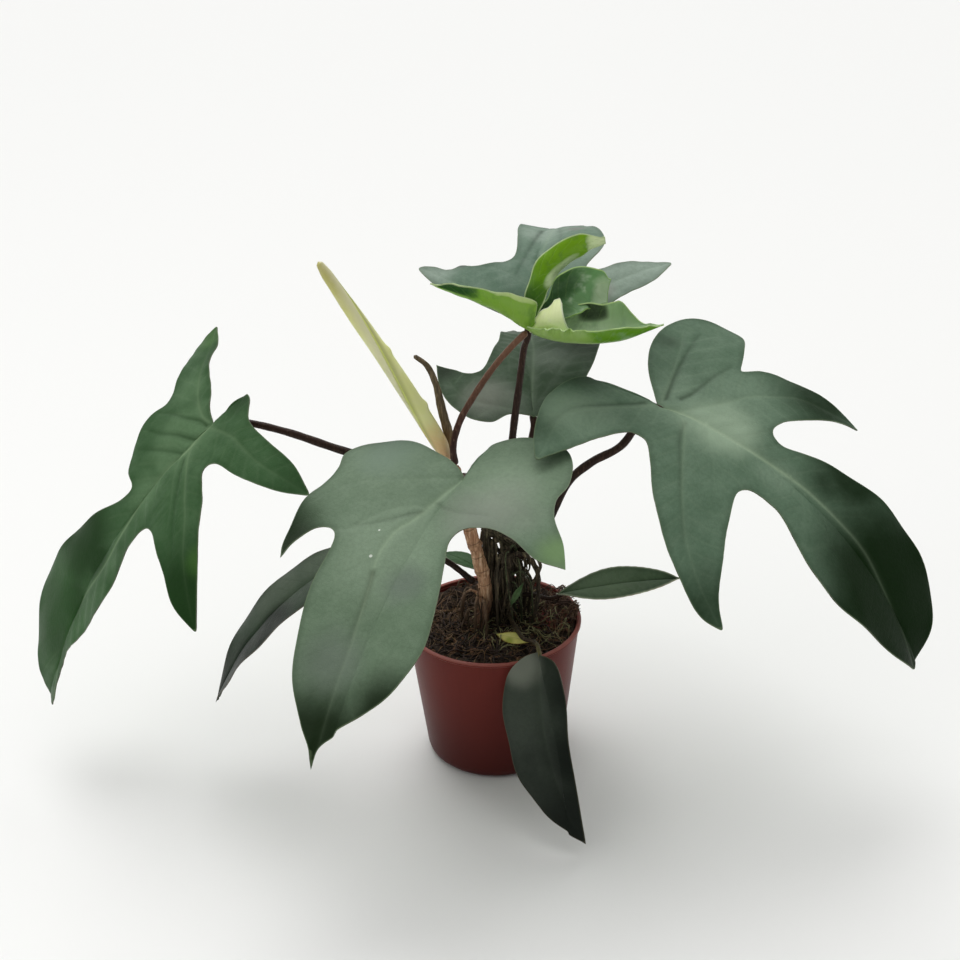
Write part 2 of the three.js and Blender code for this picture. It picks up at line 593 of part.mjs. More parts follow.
const plant = new THREE.Group();
plant.add(
  pot(),
  soil(),
  shoot('main_shoot', mainPath, mainRadius, bark, { rootCount: 5, seed: 3, sector: [1.6, 5.2] }),
  shoot('side_shoot', sidePath, sideRadius, darkBark, {
    rootCount: 4,
    seed: 17,
    sector: [0.5, 2.6],
    longRoots: [[[9, 6, 143], [20, 2, 148], [29, 0, 140], [31, -1, 120], [27, -2, 96.9]]],
  }),
  lobedLeaf('right_leaf_blade', rightBlade, rightOutline, matureGreen),
  petiole('right_leaf_petiole', [
    [18, 8.4, 141], [27, 7, 155], [43, 4, 174], [58, -1, 204], [83, -9, 229], ...petioleEnd(rightBlade, 2.4),
  ], [3.2, 2.4], petioleBrown, 20),
  lobedLeaf('left_leaf_blade', leftBlade, leftOutline, deepGreen),
  petiole('left_leaf_petiole', [
    [-28, -0.6, 204], [-57, 2, 215], [-94, 5, 225], [-130, 8, 238], [-156, 10, 244.5],
    ...petioleEnd(leftBlade, 2.2),
  ], [3.2, 2.2], petioleBrown, 20),
  lobedLeaf('front_leaf_blade', frontBlade, frontOutline, matureGreen),
  petiole('front_leaf_petiole', [
    [-22.3, -7, 203], [-21, -25, 217], ...petioleEnd(frontBlade, 2.6),
  ], [3, 2.6], petioleBrown, 10),
  lobedLeaf('crown_leaf_blade', crownBlade, crownOutline, matureGreen),
  petiole('crown_leaf_petiole', [
    [11, 10.2, 152.9], [12, 16, 185], [16, 19, 228], [20.5, 19, 262], [24, 18, 288], ...petioleEnd(crownBlade, 2),
  ], [3, 2], petioleBrown, 20),
  lobedLeaf('back_leaf_blade', backBlade, backOutline, matureGreen),
  petiole('back_leaf_petiole', [
    [12.3, 16.6, 137], [19, 23, 170], [25, 27, 205], ...petioleEnd(backBlade, 2.2),
  ], [2.8, 2.2], petioleBrown, 14),
  youngLeaf(),
  petiole('young_leaf_petiole', [
    [-22.2, -2.6, 216.2], [-23, -3, 229], [-18.5, -2.4, 246], [-8.5, -1.8, 264], [4.5, -1.6, 283],
    [17, -1.9, 297.5], [25.1, -2.4, 305.4],
  ], [2.8, 1.9], petioleRed, 20),
  spear(),
  sheath(),
  lanceLeaf('low_left_leaf_blade', lowLeftBlade, 52, darkLeaf, 0.46),
  petiole('low_left_leaf_petiole', [
    [-11.8, -0.8, 128], [-32, 3, 144], ...petioleEnd(lowLeftBlade, 1.6),
  ], [2.2, 1.6], petioleBrown, 10),
  lobedLeaf('droop_leaf_blade', droopBlade, droopOutline, darkLeaf),
  petiole('droop_leaf_petiole', [
    [8.5, 2.2, 104.5], [13, -15, 104.5], [19, -40, 107.5], ...petioleEnd(droopBlade, 1.6),
  ], [2.2, 1.6], petioleBrown, 12),
  lanceLeaf('small_right_leaf_blade', smallRightBlade, 27, darkLeaf, 0.5),
  petiole('small_right_leaf_petiole', [
    [13.6, 8, 111], [26, 7, 113], ...petioleEnd(smallRightBlade, 1.3),
  ], [1.8, 1.3], petioleBrown, 8),
  lanceLeaf('small_back_leaf_blade', smallBackBlade, 18, matureGreen, 0.5),
  petiole('small_back_leaf_petiole', [
    [4, 13.6, 117], [-1, 16, 122], ...petioleEnd(smallBackBlade, 1.1, 2),
  ], [1.6, 1.1], petioleBrown, 6),
  lanceLeaf('fallen_leaf', yellowBlade, 12, yellowLeaf, 0.5),
);

export default plant;
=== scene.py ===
# Potted airplane philodendron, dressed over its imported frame. Sizes in the tables are millimetres.
import math
import random

import bpy
import numpy as np
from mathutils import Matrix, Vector, noise
from mathutils.geometry import delaunay_2d_cdt


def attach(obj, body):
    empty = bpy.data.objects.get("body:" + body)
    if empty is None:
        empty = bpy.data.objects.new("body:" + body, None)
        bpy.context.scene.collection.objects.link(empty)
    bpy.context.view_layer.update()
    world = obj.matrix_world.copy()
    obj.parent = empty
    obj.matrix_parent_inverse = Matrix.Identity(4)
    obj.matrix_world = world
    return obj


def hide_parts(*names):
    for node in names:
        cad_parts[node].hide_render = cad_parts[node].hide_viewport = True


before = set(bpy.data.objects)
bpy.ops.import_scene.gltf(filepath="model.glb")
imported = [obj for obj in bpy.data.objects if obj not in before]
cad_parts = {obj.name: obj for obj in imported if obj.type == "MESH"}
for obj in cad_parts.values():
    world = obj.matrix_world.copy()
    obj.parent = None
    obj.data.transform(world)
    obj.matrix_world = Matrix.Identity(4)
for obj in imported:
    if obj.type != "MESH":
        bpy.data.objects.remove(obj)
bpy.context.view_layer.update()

mm = 0.001
rad = math.radians


# camera and studio
photoView = {'place': (-0.0064, -0.82, 0.5915), 'tilt': 64.7, 'roll': -1.54, 'halfAngle': 19, 'sensor': 36}
studio = {  # places in metres
    'floorSize': 40, 'floorColour': (238, 238, 236), 'backdrop': (0.9, 0.9, 0.89, 1),
    'skyTop': 0.8, 'skyLow': 0.25,
    'sun': {'tilt': (-26, -8), 'spread': 50, 'strength': 1.6},
    'fill': {'place': (-1.7, -0.9, 1.5), 'aim': (0, 0, 0.2), 'size': 1.4, 'power': 5},
}


class Wire:  # a shader socket that takes Python's own operators
    def __init__(self, tree, socket=None):
        self.tree = tree
        self.socket = socket

    def node(self, kind, settings=None, sockets=None, output=0):
        made = self.tree.nodes.new(kind)
        for name, value in (settings or {}).items():
            setattr(made, name, value)
        for name, value in (sockets or {}).items():
            if isinstance(value, Wire):
                self.tree.links.new(value.socket, made.inputs[name])
            else:  # three numbers on a colour socket are a picture's colour
                isPaint = made.inputs[name].type == 'RGBA' and len(value) == 3
                made.inputs[name].default_value = paint(*value) if isPaint else value
        return Wire(self.tree, made.outputs[output] if made.outputs else None)

    def maths(self, operation, *values):
        return self.node('ShaderNodeMath', {'operation': operation}, dict(enumerate(values)))

    def __add__(self, other):
        return self.maths('ADD', self, other)

    def __sub__(self, other):
        return self.maths('SUBTRACT', self, other)

    def __rsub__(self, other):
        return self.maths('SUBTRACT', other, self)

    def __mul__(self, other):
        return self.maths('MULTIPLY', self, other)

    def __truediv__(self, other):
        return self.maths('DIVIDE', self, other)

    __radd__ = __add__
    __rmul__ = __mul__

    def rising(self, low, high):  # 0 below low, 1 above high, eased between
        eased = {'interpolation_type': 'SMOOTHSTEP'}
        return self.node('ShaderNodeMapRange', eased, {0: self, 1: low, 2: high})

    def lines(self, width):  # thin stripes where the value passes a whole number
        wave = self.maths('SINE', self * math.pi)
        return 1 - self.maths('ABSOLUTE', wave).rising(0, width)

    def mixed(self, first, second):
        return self.node('ShaderNodeMix', {'data_type': 'RGBA'}, {0: self, 6: first, 7: second}, 2)

    def ramp(self, *stops):  # each stop: place and colour
        made = self.node('ShaderNodeValToRGB', {}, {0: self})
        elements = made.socket.node.color_ramp.elements
        for element, (place, colour) in zip(elements, (stops[0], stops[-1])):
            element.position, element.color = place, paint(*colour)
        for place, colour in stops[1:-1]:
            elements.new(place).color = paint(*colour)
        return made

    def part(self, axis):
        return self.node('ShaderNodeSeparateXYZ', {}, {0: self}, axis)

    def noise(self, scale, detail=3, rough=0.55, warp=0.0):
        return self.node('ShaderNodeTexNoise', {}, {
            'Vector': self, 'Scale': scale, 'Detail': detail, 'Roughness': rough, 'Distortion': warp})

    def cells(self, scale, feature='DISTANCE_TO_EDGE'):
        return self.node('ShaderNodeTexVoronoi', {'feature': feature}, {'Vector': self, 'Scale': scale})

    def scaled(self, x, y, z):
        return self.node('ShaderNodeMapping', {}, {'Vector': self, 'Scale': (x, y, z)})

    def away(self, point):  # distance from a fixed point
        return self.node('ShaderNodeVectorMath', {'operation': 'DISTANCE'}, {0: self, 1: point}, 1)


def paint(red, green, blue):  # colour as a picture shows it, 0 to 255
    return (*[((c / 255 + 0.055) / 1.055) ** 2.4 if c > 10 else c / 3295 for c in (red, green, blue)], 1)


def startMaterial(name):
    material = bpy.data.materials.new(name)
    material.use_nodes = True
    material.node_tree.nodes.clear()
    return material, Wire(material.node_tree)


def closeMaterial(wire, colour, roughness, height=None, depth=0.0002, shine=0.5):
    sockets = {'Base Color': colour, 'Roughness': roughness, 'Specular IOR Level': shine}
    if height is not None:
        sockets['Normal'] = wire.node('ShaderNodeBump', {}, {'Height': height, 'Distance': depth})
    shader = wire.node('ShaderNodeBsdfPrincipled', {}, sockets)
    wire.node('ShaderNodeOutputMaterial', {}, {0: shader})


def coated(look, colour, *coats):  # each coat: how much of it shows, and the name of its colour
    for amount, name in coats:
        colour = amount.mixed(colour, look[name])
    return colour


def fromMesh(wire, *names):  # layers of the mesh, such as the distance from the edge
    return [wire.node('ShaderNodeAttribute', {'attribute_name': name}, {}, 2) for name in names]


def flatPlace(wire):  # place on the blade before it was bent
    return wire.node('ShaderNodeAttribute', {'attribute_name': 'flat'}, {}, 1)


def objectPlace(wire):
    return wire.node('ShaderNodeTexCoord', {}, {}, 3)


def deselectAll():
    bpy.ops.object.select_all(action='DESELECT')


def pick(*pieces):
    deselectAll()
    for piece in pieces:
        piece.select_set(True)
    bpy.context.view_layer.objects.active = pieces[0]
    return pieces[0]


def applyAll(piece):
    pick(piece)
    for modifier in list(piece.modifiers):
        bpy.ops.object.modifier_apply(modifier=modifier.name)


def putAttribute(mesh, name, values):
    values = np.asarray(values, np.float32)
    flat = values.ndim == 2
    layer = mesh.attributes.new(name, 'FLOAT_VECTOR' if flat else 'FLOAT', 'POINT')
    layer.data.foreach_set('vector' if flat else 'value', values.ravel())


def meshPiece(name, points, faces, layers):  # points in millimetres
    mesh = bpy.data.meshes.new(name)
    mesh.from_pydata(points * mm, [], faces)
    for layer, values in layers.items():
        putAttribute(mesh, layer, values)
    piece = bpy.data.objects.new(name, mesh)
    bpy.context.collection.objects.link(piece)
    return pick(piece)


def thicken(piece, thick, offset, group=''):  # back and rim take the next two materials
    wall = piece.modifiers.new('thickness', 'SOLIDIFY')
    wall.thickness, wall.offset = thick * mm, offset
    wall.vertex_group, wall.thickness_vertex_group = group, 0.2
    wall.material_offset, wall.material_offset_rim = 1, 2
    applyAll(piece)
    bpy.ops.object.shade_smooth_by_angle(angle=rad(40))


def place(piece, slot, *nodes):
    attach(piece, 'root')
    if nodes:
        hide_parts(*nodes)
    return piece


def dress(piece, material, corner, slot, *nodes):  # edges sharper than the corner stay sharp
    piece.data.materials.append(material)
    pick(piece)
    if corner:
        bpy.ops.object.shade_smooth_by_angle(angle=rad(corner))
    else:
        bpy.ops.object.shade_smooth()
    return place(piece, slot, *nodes)


def addStudio():
    bpy.ops.object.camera_add(location=photoView['place'])
    camera = bpy.context.object
    camera.rotation_mode = 'ZXY'
    camera.rotation_euler = (rad(photoView['tilt']), 0, rad(photoView['roll']))
    camera.data.sensor_width = photoView['sensor']
    camera.data.lens = photoView['sensor'] / 2 / math.tan(rad(photoView['halfAngle']))
    bpy.context.scene.camera = camera

    bpy.ops.mesh.primitive_plane_add(size=studio['floorSize'])
    floor = bpy.context.object
    floor.name = 'floor'
    material, wire = startMaterial('pale floor')
    closeMaterial(wire, studio['floorColour'], 0.75)
    floor.data.materials.append(material)

    sun, fill = studio['sun'], studio['fill']
    bpy.ops.object.light_add(type='SUN', rotation=(rad(sun['tilt'][0]), rad(sun['tilt'][1]), 0))
    bpy.context.object.data.angle = rad(sun['spread'])
    bpy.context.object.data.energy = sun['strength']
    bpy.ops.object.light_add(type='AREA', location=fill['place'])
    light = bpy.context.object
    light.data.size = fill['size']
    light.data.energy = fill['power']
    light.rotation_euler = (Vector(fill['aim']) - light.location).to_track_quat('-Z', 'Y').to_euler()

    world = bpy.data.worlds.new('studio')
    bpy.context.scene.world = world
    world.use_nodes = True
    world.node_tree.nodes.clear()
    wire = Wire(world.node_tree)
    direction = wire.node('ShaderNodeTexCoord')
    rise = (direction.part(2) * 0.75 + direction.part(1) * 0.45).rising(-0.15, 0.85)
    glow = rise * (studio['skyTop'] - studio['skyLow']) + studio['skyLow']
    seen = wire.node('ShaderNodeLightPath')
    sky = wire.node('ShaderNodeBackground', {}, {'Color': (1, 1, 1, 1), 'Strength': glow})
    plain = wire.node('ShaderNodeBackground', {}, {'Color': studio['backdrop'], 'Strength': 1.0})
    both = wire.node('ShaderNodeMixShader', {}, {0: seen, 1: sky, 2: plain})
    wire.node('ShaderNodeOutputWorld', {}, {0: both})
    bpy.context.scene.view_settings.view_transform = 'Standard'


addStudio()
print('camera, floor and light are set')


def lengthAlong(track):
    return np.concatenate([[0], np.cumsum(np.linalg.norm(np.diff(track, axis=0), axis=1))])


def headings(track):
    heading = np.gradient(track, axis=0)
    return heading / np.linalg.norm(heading, axis=1)[:, None]


# smooth run through given points
def flowing(points, step):
    given = np.array(points, float)
    ends = np.vstack([2 * given[0] - given[1], given, 2 * given[-1] - given[-2]])
    knots = np.concatenate([[0], np.cumsum(np.linalg.norm(np.diff(ends, axis=0), axis=1) ** 0.5)])
    t = np.linspace(0, 1, 24, endpoint=False)[:, None]
    track = []
    for k in range(1, len(ends) - 2):
        p0, p1, p2, p3 = ends[k - 1:k + 3]
        d0, d1, d2 = np.diff(knots[k - 1:k + 3])
        lead = d1 * ((p1 - p0) / d0 - (p2 - p0) / (d0 + d1) + (p2 - p1) / d1)
        trail = d1 * ((p2 - p1) / d1 - (p3 - p1) / (d1 + d2) + (p3 - p2) / d2)
        track.append((2 * t**3 - 3 * t**2 + 1) * p1 + (t**3 - 2 * t**2 + t) * lead
                     + (3 * t**2 - 2 * t**3) * p2 + (t**3 - t**2) * trail)
    track = np.vstack([*track, given[-1:]])
    far = lengthAlong(track)
    stops = np.linspace(0, far[-1], max(2, round(far[-1] / step)) + 1)
    return np.column_stack([np.interp(stops, far, column) for column in track.T])


def easedStops(t, stops):  # values at t, eased from each stop to the next
    stops = np.array(stops, float)
    low = np.clip(np.searchsorted(stops[:, 0], t) - 1, 0, len(stops) - 2)
    share = np.clip((t - stops[low, 0]) / (stops[low + 1, 0] - stops[low, 0]), 0, 1)
    share = share**2 * (3 - 2 * share)
    return (stops[low, 1:] + (stops[low + 1, 1:] - stops[low, 1:]) * share[:, None]).T


# distance from a line, place along it and side of it, for many flat points
def besideLine(points, line):
    far, along, side = np.full(len(points), 1e9), np.zeros(len(points)), np.zeros(len(points))
    passed = 0.0
    for start, end in zip(line[:-1], line[1:]):
        step = end - start
        length = math.hypot(*step)
        delta = points - start
        t = np.clip(delta @ step / length**2, 0, 1)
        gap = np.linalg.norm(delta - t[:, None] * step, axis=1)
        nearer = gap < far
        far[nearer] = gap[nearer]
        along[nearer] = passed + t[nearer] * length
        side[nearer] = np.sign(step[0] * delta[nearer, 1] - step[1] * delta[nearer, 0])
        passed += length
    return far, along, side


def insideRing(points, ring):
    odd = np.zeros(len(points), bool)
    x, y = points.T
    for (ax, ay), (bx, by) in zip(ring, np.roll(ring, -1, axis=0)):
        if ay != by:
            odd ^= ((ay > y) != (by > y)) & (x < ax + (y - ay) / (by - ay) * (bx - ax))
    return odd


# point of the arched plane that a blade follows: u across, v along its midrib
def bladePoints(leaf, u, v, lift):
    start, end, roll, fold = (rad(leaf[k]) for k in ('pitchStart', 'pitchEnd', 'roll', 'fold'))
    bend = (end - start) / leaf['length']
    along = np.clip(v, 0, leaf['length'])
    pitch = start + bend * along
    forward = (np.sin(pitch) - math.sin(start)) / bend + (v - along) * np.cos(pitch)
    climb = (math.cos(start) - np.cos(pitch)) / bend + (v - along) * np.sin(pitch)
    up = np.array([0, 0, 1.0])
    ahead = np.array([math.cos(rad(leaf['heading'])), math.sin(rad(leaf['heading'])), 0])
    right = np.cross(ahead, up)
    flatNormal = np.outer(np.cos(pitch), up) - np.outer(np.sin(pitch), ahead)
    across = right * math.cos(roll) + flatNormal * math.sin(roll)
    normal = flatNormal * math.cos(roll) - right * math.sin(roll)
    turn = u / np.sqrt(u**2 + 9)  # rounds the fold along the midrib
    lean = fold - u * turn / leaf['droop']
    sideways = turn * leaf['droop'] * (math.sin(fold) - np.sin(lean))
    rise = leaf['droop'] * (np.cos(lean) - math.cos(fold))
    tilt = turn * lean
    return (np.array(leaf['joint'], float) + np.outer(forward, ahead) + np.outer(climb, up)
            + across * (sideways - lift * np.sin(tilt))[:, None]
            + normal * (rise + lift * np.cos(tilt))[:, None])


def lanceOutline(length, width, widest):
    power = math.log(0.5) / math.log(widest)
    shares = (0.06, 0.18, 0.34, 0.5, 0.66, 0.82, 0.93)
    side = [((width / 2) * math.sin(math.pi * t**power) ** 0.8, length * t) for t in shares]
    return [[*side, (0, length)], [*[(-u, v) for u, v in reversed(side)], (0, 0)]]


# leaf finishes
def upperFinish(name, look):
    material, wire = startMaterial(name)
    flat = flatPlace(wire)
    rib, creaseShade, edge, along = fromMesh(wire, 'rib', 'creaseShade', 'edge', 'along')
    across, deep, sheen = fromMesh(wire, 'across', 'deep', 'sheen')
    cloud, blotch, grain = flat.noise(0.02, 4), flat.noise(0.075, 3), flat.noise(0.35, 3)
    slant = (along - across * 0.75 + flat.noise(0.05, 2) * 5) / look['veinGap']
    fading = 1 - across.rising(look['veinReach'] * 0.5, look['veinReach'])
    side = slant.lines(0.5) * across.rising(0.8, 4) * fading
    net = 1 - flat.cells(0.4).rising(0.0, 0.12)
    # painted shade: the darker blobs, broken up by noise, mix the leaf towards its darkest green
    shade = (deep + (cloud - 0.5) * 0.45 + (blotch - 0.5) * 0.2).rising(0.05, 0.95)
    # the pale grey-green coats are random blotches and painted sheen from the lighter blobs; the darkest
    # green coats are painted shade, grain, vein net, creases with painted shade and a darker band near the
    # edge
    colour = coated(
        look, look['face'], (blotch.rising(0.35, 0.7) * 0.25, 'bloom'),
        ((sheen + (cloud - 0.5) * 0.6).rising(0.1, 0.9) * look['cloudy'], 'bloom'),
        (shade, 'deep'), (grain.rising(0.35, 0.7) * 0.1, 'deep'), (net * 0.06, 'deep'),
        (side * look['sideVeins'] * (1 - shade), 'vein'), (creaseShade * 0.7, 'deep'),
        (rib * look['ribShow'] * (1 - shade * 0.6), 'vein'), ((1 - edge.rising(0.5, 5)) * 0.22, 'deep'),
        ((1 - edge.rising(0.15, look['marginWidth'])) * 0.5, 'margin'))
    for u, v, size in look.get('specks', []):
        colour = (1 - flat.away((u, v, 0)).rising(size * 0.6, size)).mixed(colour, look['speck'])
    # patches of given tint: some are painted sheen, some painted shade, some the leaf's own colour
    for u, v, size, tint, amount in look.get('patches', []):
        reach = 1 - (flat.away((u, v, 0)) + (cloud - 0.5) * size).rising(size * 0.2, size)
        colour = (reach * amount).mixed(colour, tint)
    roughness = look['rough'] + (cloud - 0.5) * 0.2 + (grain - 0.5) * 0.1
    height = side * -0.1 + (1 - net) * 0.1 + grain * 0.12 + blotch * 0.5
    closeMaterial(wire, colour, roughness, height, 0.0004, shine=look['shine'])
    return material


def underFinish(name, look):
    material, wire = startMaterial(name)
    flat = flatPlace(wire)
    rib, edge, along, across = fromMesh(wire, 'rib', 'edge', 'along', 'across')
    cloud, grain = flat.noise(0.02, 4), flat.noise(0.4, 2)
    slant = (along - across * 0.75 + flat.noise(0.05, 2) * 5) / look['veinGap']
    side = slant.lines(0.3) * across.rising(0.8, 3)
    net = 1 - flat.cells(0.4).rising(0.0, 0.15)
    colour = coated(
        look, look['under'], (cloud.rising(0.3, 0.7), 'underDeep'), (net * 0.2 + grain * 0.1, 'underDeep'),
        (side * 0.4, 'vein'), (rib * 0.85, 'vein'),
        ((1 - edge.rising(0.2, look['marginWidth'])) * 0.6, 'margin'))
    height = side * 0.6 + net * 0.3 + grain * 0.1
    closeMaterial(wire, colour, 0.55 + (cloud - 0.5) * 0.15, height, 0.0003, shine=0.25)
    return material


def rimFinish(name, look):
    material, wire = startMaterial(name)
    flat = flatPlace(wire)
    colour = flat.noise(0.08, 3).rising(0.35, 0.65).mixed(look['margin'], look['marginDark'])
    closeMaterial(wire, colour, 0.5)
    return material


# the pale grey-green serves random pale blotches and painted sheen; the darkest green serves painted shade as
# well as grain and the vein net
matureLook = {
    'face': (88, 112, 90), 'deep': (15, 36, 10), 'bloom': (118, 140, 118), 'cloudy': 0.8,
    'vein': (152, 172, 142), 'margin': (104, 122, 90), 'marginDark': (66, 62, 44),
    'under': (104, 134, 96), 'underDeep': (80, 112, 78),
    'veinGap': 13, 'veinReach': 34, 'sideVeins': 0.05, 'ribShow': 0.85, 'rough': 0.44, 'shine': 0.1,
    'marginWidth': 0.9, 'speck': (205, 212, 200),
}


commonLeaf = {  # what a leaf has where its own table says nothing
    'blunt': 0, 'hold': 8, 'border': 1.5, 'step': 2.2, 'beads': (-1.5, -0.6, 0, 0.6, 1.5), 'darker': [],
    'lighter': [], 'wave': 0.8, 'quilted': 0.22, 'thick': 2.0, 'swellSize': 26, 'rippleSize': 7,
}


def bladeRing(leaf):
    start, runs = (0, 0), []
    for run in leaf['outline']:  # each run starts where the last one ended
        runs.append(flowing([start, *run], leaf['border'])[:-1])
        start = run[-1]
    ring = np.vstack(runs)
    if np.sum(ring[:, 0] * np.roll(ring[:, 1], -1) - np.roll(ring[:, 0], -1) * ring[:, 1]) < 0:
        ring = ring[::-1]
    hold = np.exp(-(ring**2).sum(1, keepdims=True) / leaf['hold'] ** 2)  # the joint keeps its place
    for _ in range(leaf['blunt']):
        eased = (np.roll(ring, 1, axis=0) + 2 * ring + np.roll(ring, -1, axis=0)) / 4
        ring = ring * hold + eased * (1 - hold)
    return ring


def bladeNet(leaf, ring, closed, veins):  # even points, and closer rows of them beside each vein
    step, low, high = leaf['step'], ring.min(0), ring.max(0)
    columns = np.arange(low[0], high[0], step * 0.866)
    rows = np.arange(low[1], high[1], step)
    grid = np.array([(u, v + step / 2 * (i % 2)) for i, u in enumerate(columns) for v in rows])
    grid = grid[insideRing(grid, ring)]
    grid = grid[besideLine(grid, closed)[0] > step * 0.45]
    for line, _, _ in veins:
        grid = grid[besideLine(grid, line)[0] > step]
        heading = headings(line)
        normal = np.column_stack([-heading[:, 1], heading[:, 0]])
        beads = np.vstack([line + normal * shift for shift in leaf['beads']])
        beads = beads[insideRing(beads, ring)]
        beads = beads[besideLine(beads, closed)[0] > 0.7]
        if len(grid):
            beads = beads[np.array([np.min(np.hypot(*(grid - bead).T)) for bead in beads]) > 0.5]
        grid = np.vstack([grid, beads])
    points = [Vector(p) for p in np.vstack([ring, grid])]
    border = [(i, (i + 1) % len(ring)) for i in range(len(ring))]
    points, _, faces, *_ = delaunay_2d_cdt(points, border, [], 1, 1e-4, False)
    flat = np.array([tuple(p) for p in points])
    middles = np.array([flat[list(face)].mean(0) for face in faces])
    return flat, [face for face, kept in zip(faces, insideRing(middles, ring)) if kept]


def veinLayers(flat, veins):
    rib, creaseShade, sink, along = np.zeros((4, len(flat)))
    across = np.full(len(flat), 1e9)
    for line, pale, sunk in veins:
        far, run, _ = besideLine(flat, line)
        fade = 1 - 0.75 * run / lengthAlong(line)[-1]
        thin, wide = 0.4 + 0.7 * fade, 1 + 2.4 * fade
        mark = (0.7 * np.exp(-(far / thin) ** 2) + 0.3 * np.exp(-(far / wide) ** 2)) * fade
        rib = np.maximum(rib, max(pale, 0) ** 2 * mark)
        # painted shade along the creases, where the leaf folds
        creaseShade = np.maximum(creaseShade, max(-pale, 0) * np.exp(-(far / 1.6) ** 2) * fade)
        sink = np.maximum(sink, sunk * np.exp(-(far / (1.2 + 1.6 * fade)) ** 2) * (0.35 + 0.65 * fade))
        if pale > 0.25:
            closer = far < across
            across[closer], along[closer] = far[closer], run[closer]
    return {'rib': rib, 'creaseShade': creaseShade, 'along': along, 'across': across}, sink


def toneLayer(flat, blobs):
    layer = np.zeros(len(flat))
    for u, v, reach, amount in blobs:
        near = np.clip(1.3 - np.hypot(flat[:, 0] - u, flat[:, 1] - v) / reach, 0, 1)
        layer = np.maximum(layer, amount * near)
    return layer


def buildBlade(name, leaf, look, slot, *nodes):
    leaf = {**commonLeaf, **leaf}
    ring = bladeRing(leaf)
    closed = np.vstack([ring, ring[:1]])
    veins = [(flowing(points, 2.0), pale, sunk) for points, pale, sunk in leaf['veins']]
    flat, faces = bladeNet(leaf, ring, closed, veins)
    layers, sink = veinLayers(flat, veins)
    edge, around, _ = besideLine(flat, closed)
    # the darker blobs give a layer of painted shade, the lighter blobs a layer of painted sheen
    layers.update(edge=edge, deep=toneLayer(flat, leaf['darker']), sheen=toneLayer(flat, leaf['lighter']),
                  flat=np.column_stack([flat, np.zeros(len(flat))]))
    along, across, wave = layers['along'], layers['across'], leaf['wave']
    quilt = np.cos((along - 0.75 * across) / look['veinGap'] * 2 * math.pi)
    quilt *= np.clip((across - 1.5) / 5, 0, 1) * np.exp(-across / look['veinReach'])
    quilt *= leaf['quilted'] * np.clip(1 - layers['deep'], 0, 1)
    swell = np.array([noise.noise((u, v, leaf['heading'])) for u, v in flat / leaf['swellSize']])
    lift = 0.3 - sink - quilt + swell * wave + wave * np.sin(around / leaf['rippleSize']) * np.exp(-edge / 5)
    blade = meshPiece(name, bladePoints(leaf, *flat.T, lift), faces, layers)
    for finish, part in ((upperFinish, 'upper'), (underFinish, 'under'), (rimFinish, 'rim')):
        blade.data.materials.append(finish(f'{name} {part}', look))
    body = blade.vertex_groups.new(name='thickness')
    shares = np.clip(0.3 + layers['rib'] * 0.7, 0, 1) * np.clip(0.5 + edge / 4, 0, 1)
    for index, share in enumerate(shares):
        body.add([index], float(share), 'REPLACE')
    thicken(blade, leaf['thick'], -1, 'thickness')
    return place(blade, slot, *nodes)


rightLeaf = {
    'joint': (107, -15, 259), 'heading': -28, 'pitchStart': -13, 'pitchEnd': -66, 'length': 231,
    'roll': -14, 'fold': 10, 'droop': 240, 'blunt': 4,
    'outline': [
        [(-14, -12), (-30, -22), (-52, -29), (-82, -28), (-100, -18), (-105, 0), (-101, 15),
         (-82, 23), (-59, 29)],
        [(-72, 42), (-81, 64), (-84, 88), (-82, 107)],
        [(-72, 94), (-52, 77), (-34, 67), (-25, 66), (-21, 73), (-26, 89), (-38, 115), (-47, 150),
         (-46, 180), (-36, 207), (-18, 223), (8, 233)],
        [(22, 214), (36, 185), (45, 155), (45, 138), (37, 117), (29, 95), (29, 78), (38, 72), (64, 80),
         (92, 94), (110, 108), (119, 120)],
        [(122, 104), (114, 80), (98, 54), (76, 32), (53, 17), (38, 6), (37, -4), (50, -15),
         (68, -29), (88, -42)],
        [(74, -51), (52, -59), (28, -62), (8, -56), (-3, -40), (-3, -20), (0, 0)],
    ],
    # line, how pale (below 0 it is a crease with painted shade), how deep
    'veins': [
        ([(0, 1), (-2, 14), (-3, 31), (-3, 60), (-5, 89), (-6, 105), (-7, 132), (-7, 154),
          (0, 198), (7, 229)], 1, 0.8),
        ([(1, 9), (6, 18), (17, 24), (34, 31), (64, 46), (89, 64), (106, 86), (118, 114)], 0.5, 0.6),
        ([(-3, 31), (19, 43), (36, 54), (50, 61)], 0.3, 0.4),
        ([(-5, 89), (4, 104), (20, 115)], 0.3, 0.4),
        ([(1, -1), (13, -13), (25, -27), (37, -39), (47, -45), (82, -42)], 0.45, 0.5),
        ([(-1, 0), (-20, -3), (-45, -8), (-68, -14), (-79, -18)], 0.45, 0.5),
        ([(-8, 1), (-32, -3), (-52, -5), (-80, -7)], -0.9, 0.8),
        ([(-12, 9), (-20, 13), (-38, 17), (-60, 23)], -0.8, 0.6),
        ([(5, -9), (21, -27), (37, -43), (60, -50)], -0.8, 0.6),
        ([(8, 20), (24, 24), (46, 35), (68, 47), (92, 64)], -0.6, 0.5),
        ([(-5, 16), (-15, 25), (-26, 34), (-41, 43), (-54, 55), (-65, 65), (-82, 104)], 0.5, 0.5),
    ],
    # across and along, reach, how strong; darker blobs are painted shade, lighter blobs painted sheen
    'darker': [(-6, 200, 80, 1.3), (-40, 120, 38, 0.8), (118, 108, 38, 0.6), (-76, 78, 36, 0.75),
               (4, -54, 22, 0.5), (-60, -22, 14, 0.5), (84, 56, 20, 0.2),
               (-22, 112, 20, 0.7), (60, -54, 20, 0.4)],
    'lighter': [(-8, 12, 30, 0.9), (-34, 42, 34, 0.7), (40, -34, 24, 1), (-70, 4, 20, 0.25),
                (26, 40, 24, 0.4), (4, 84, 20, 0.7)],
}

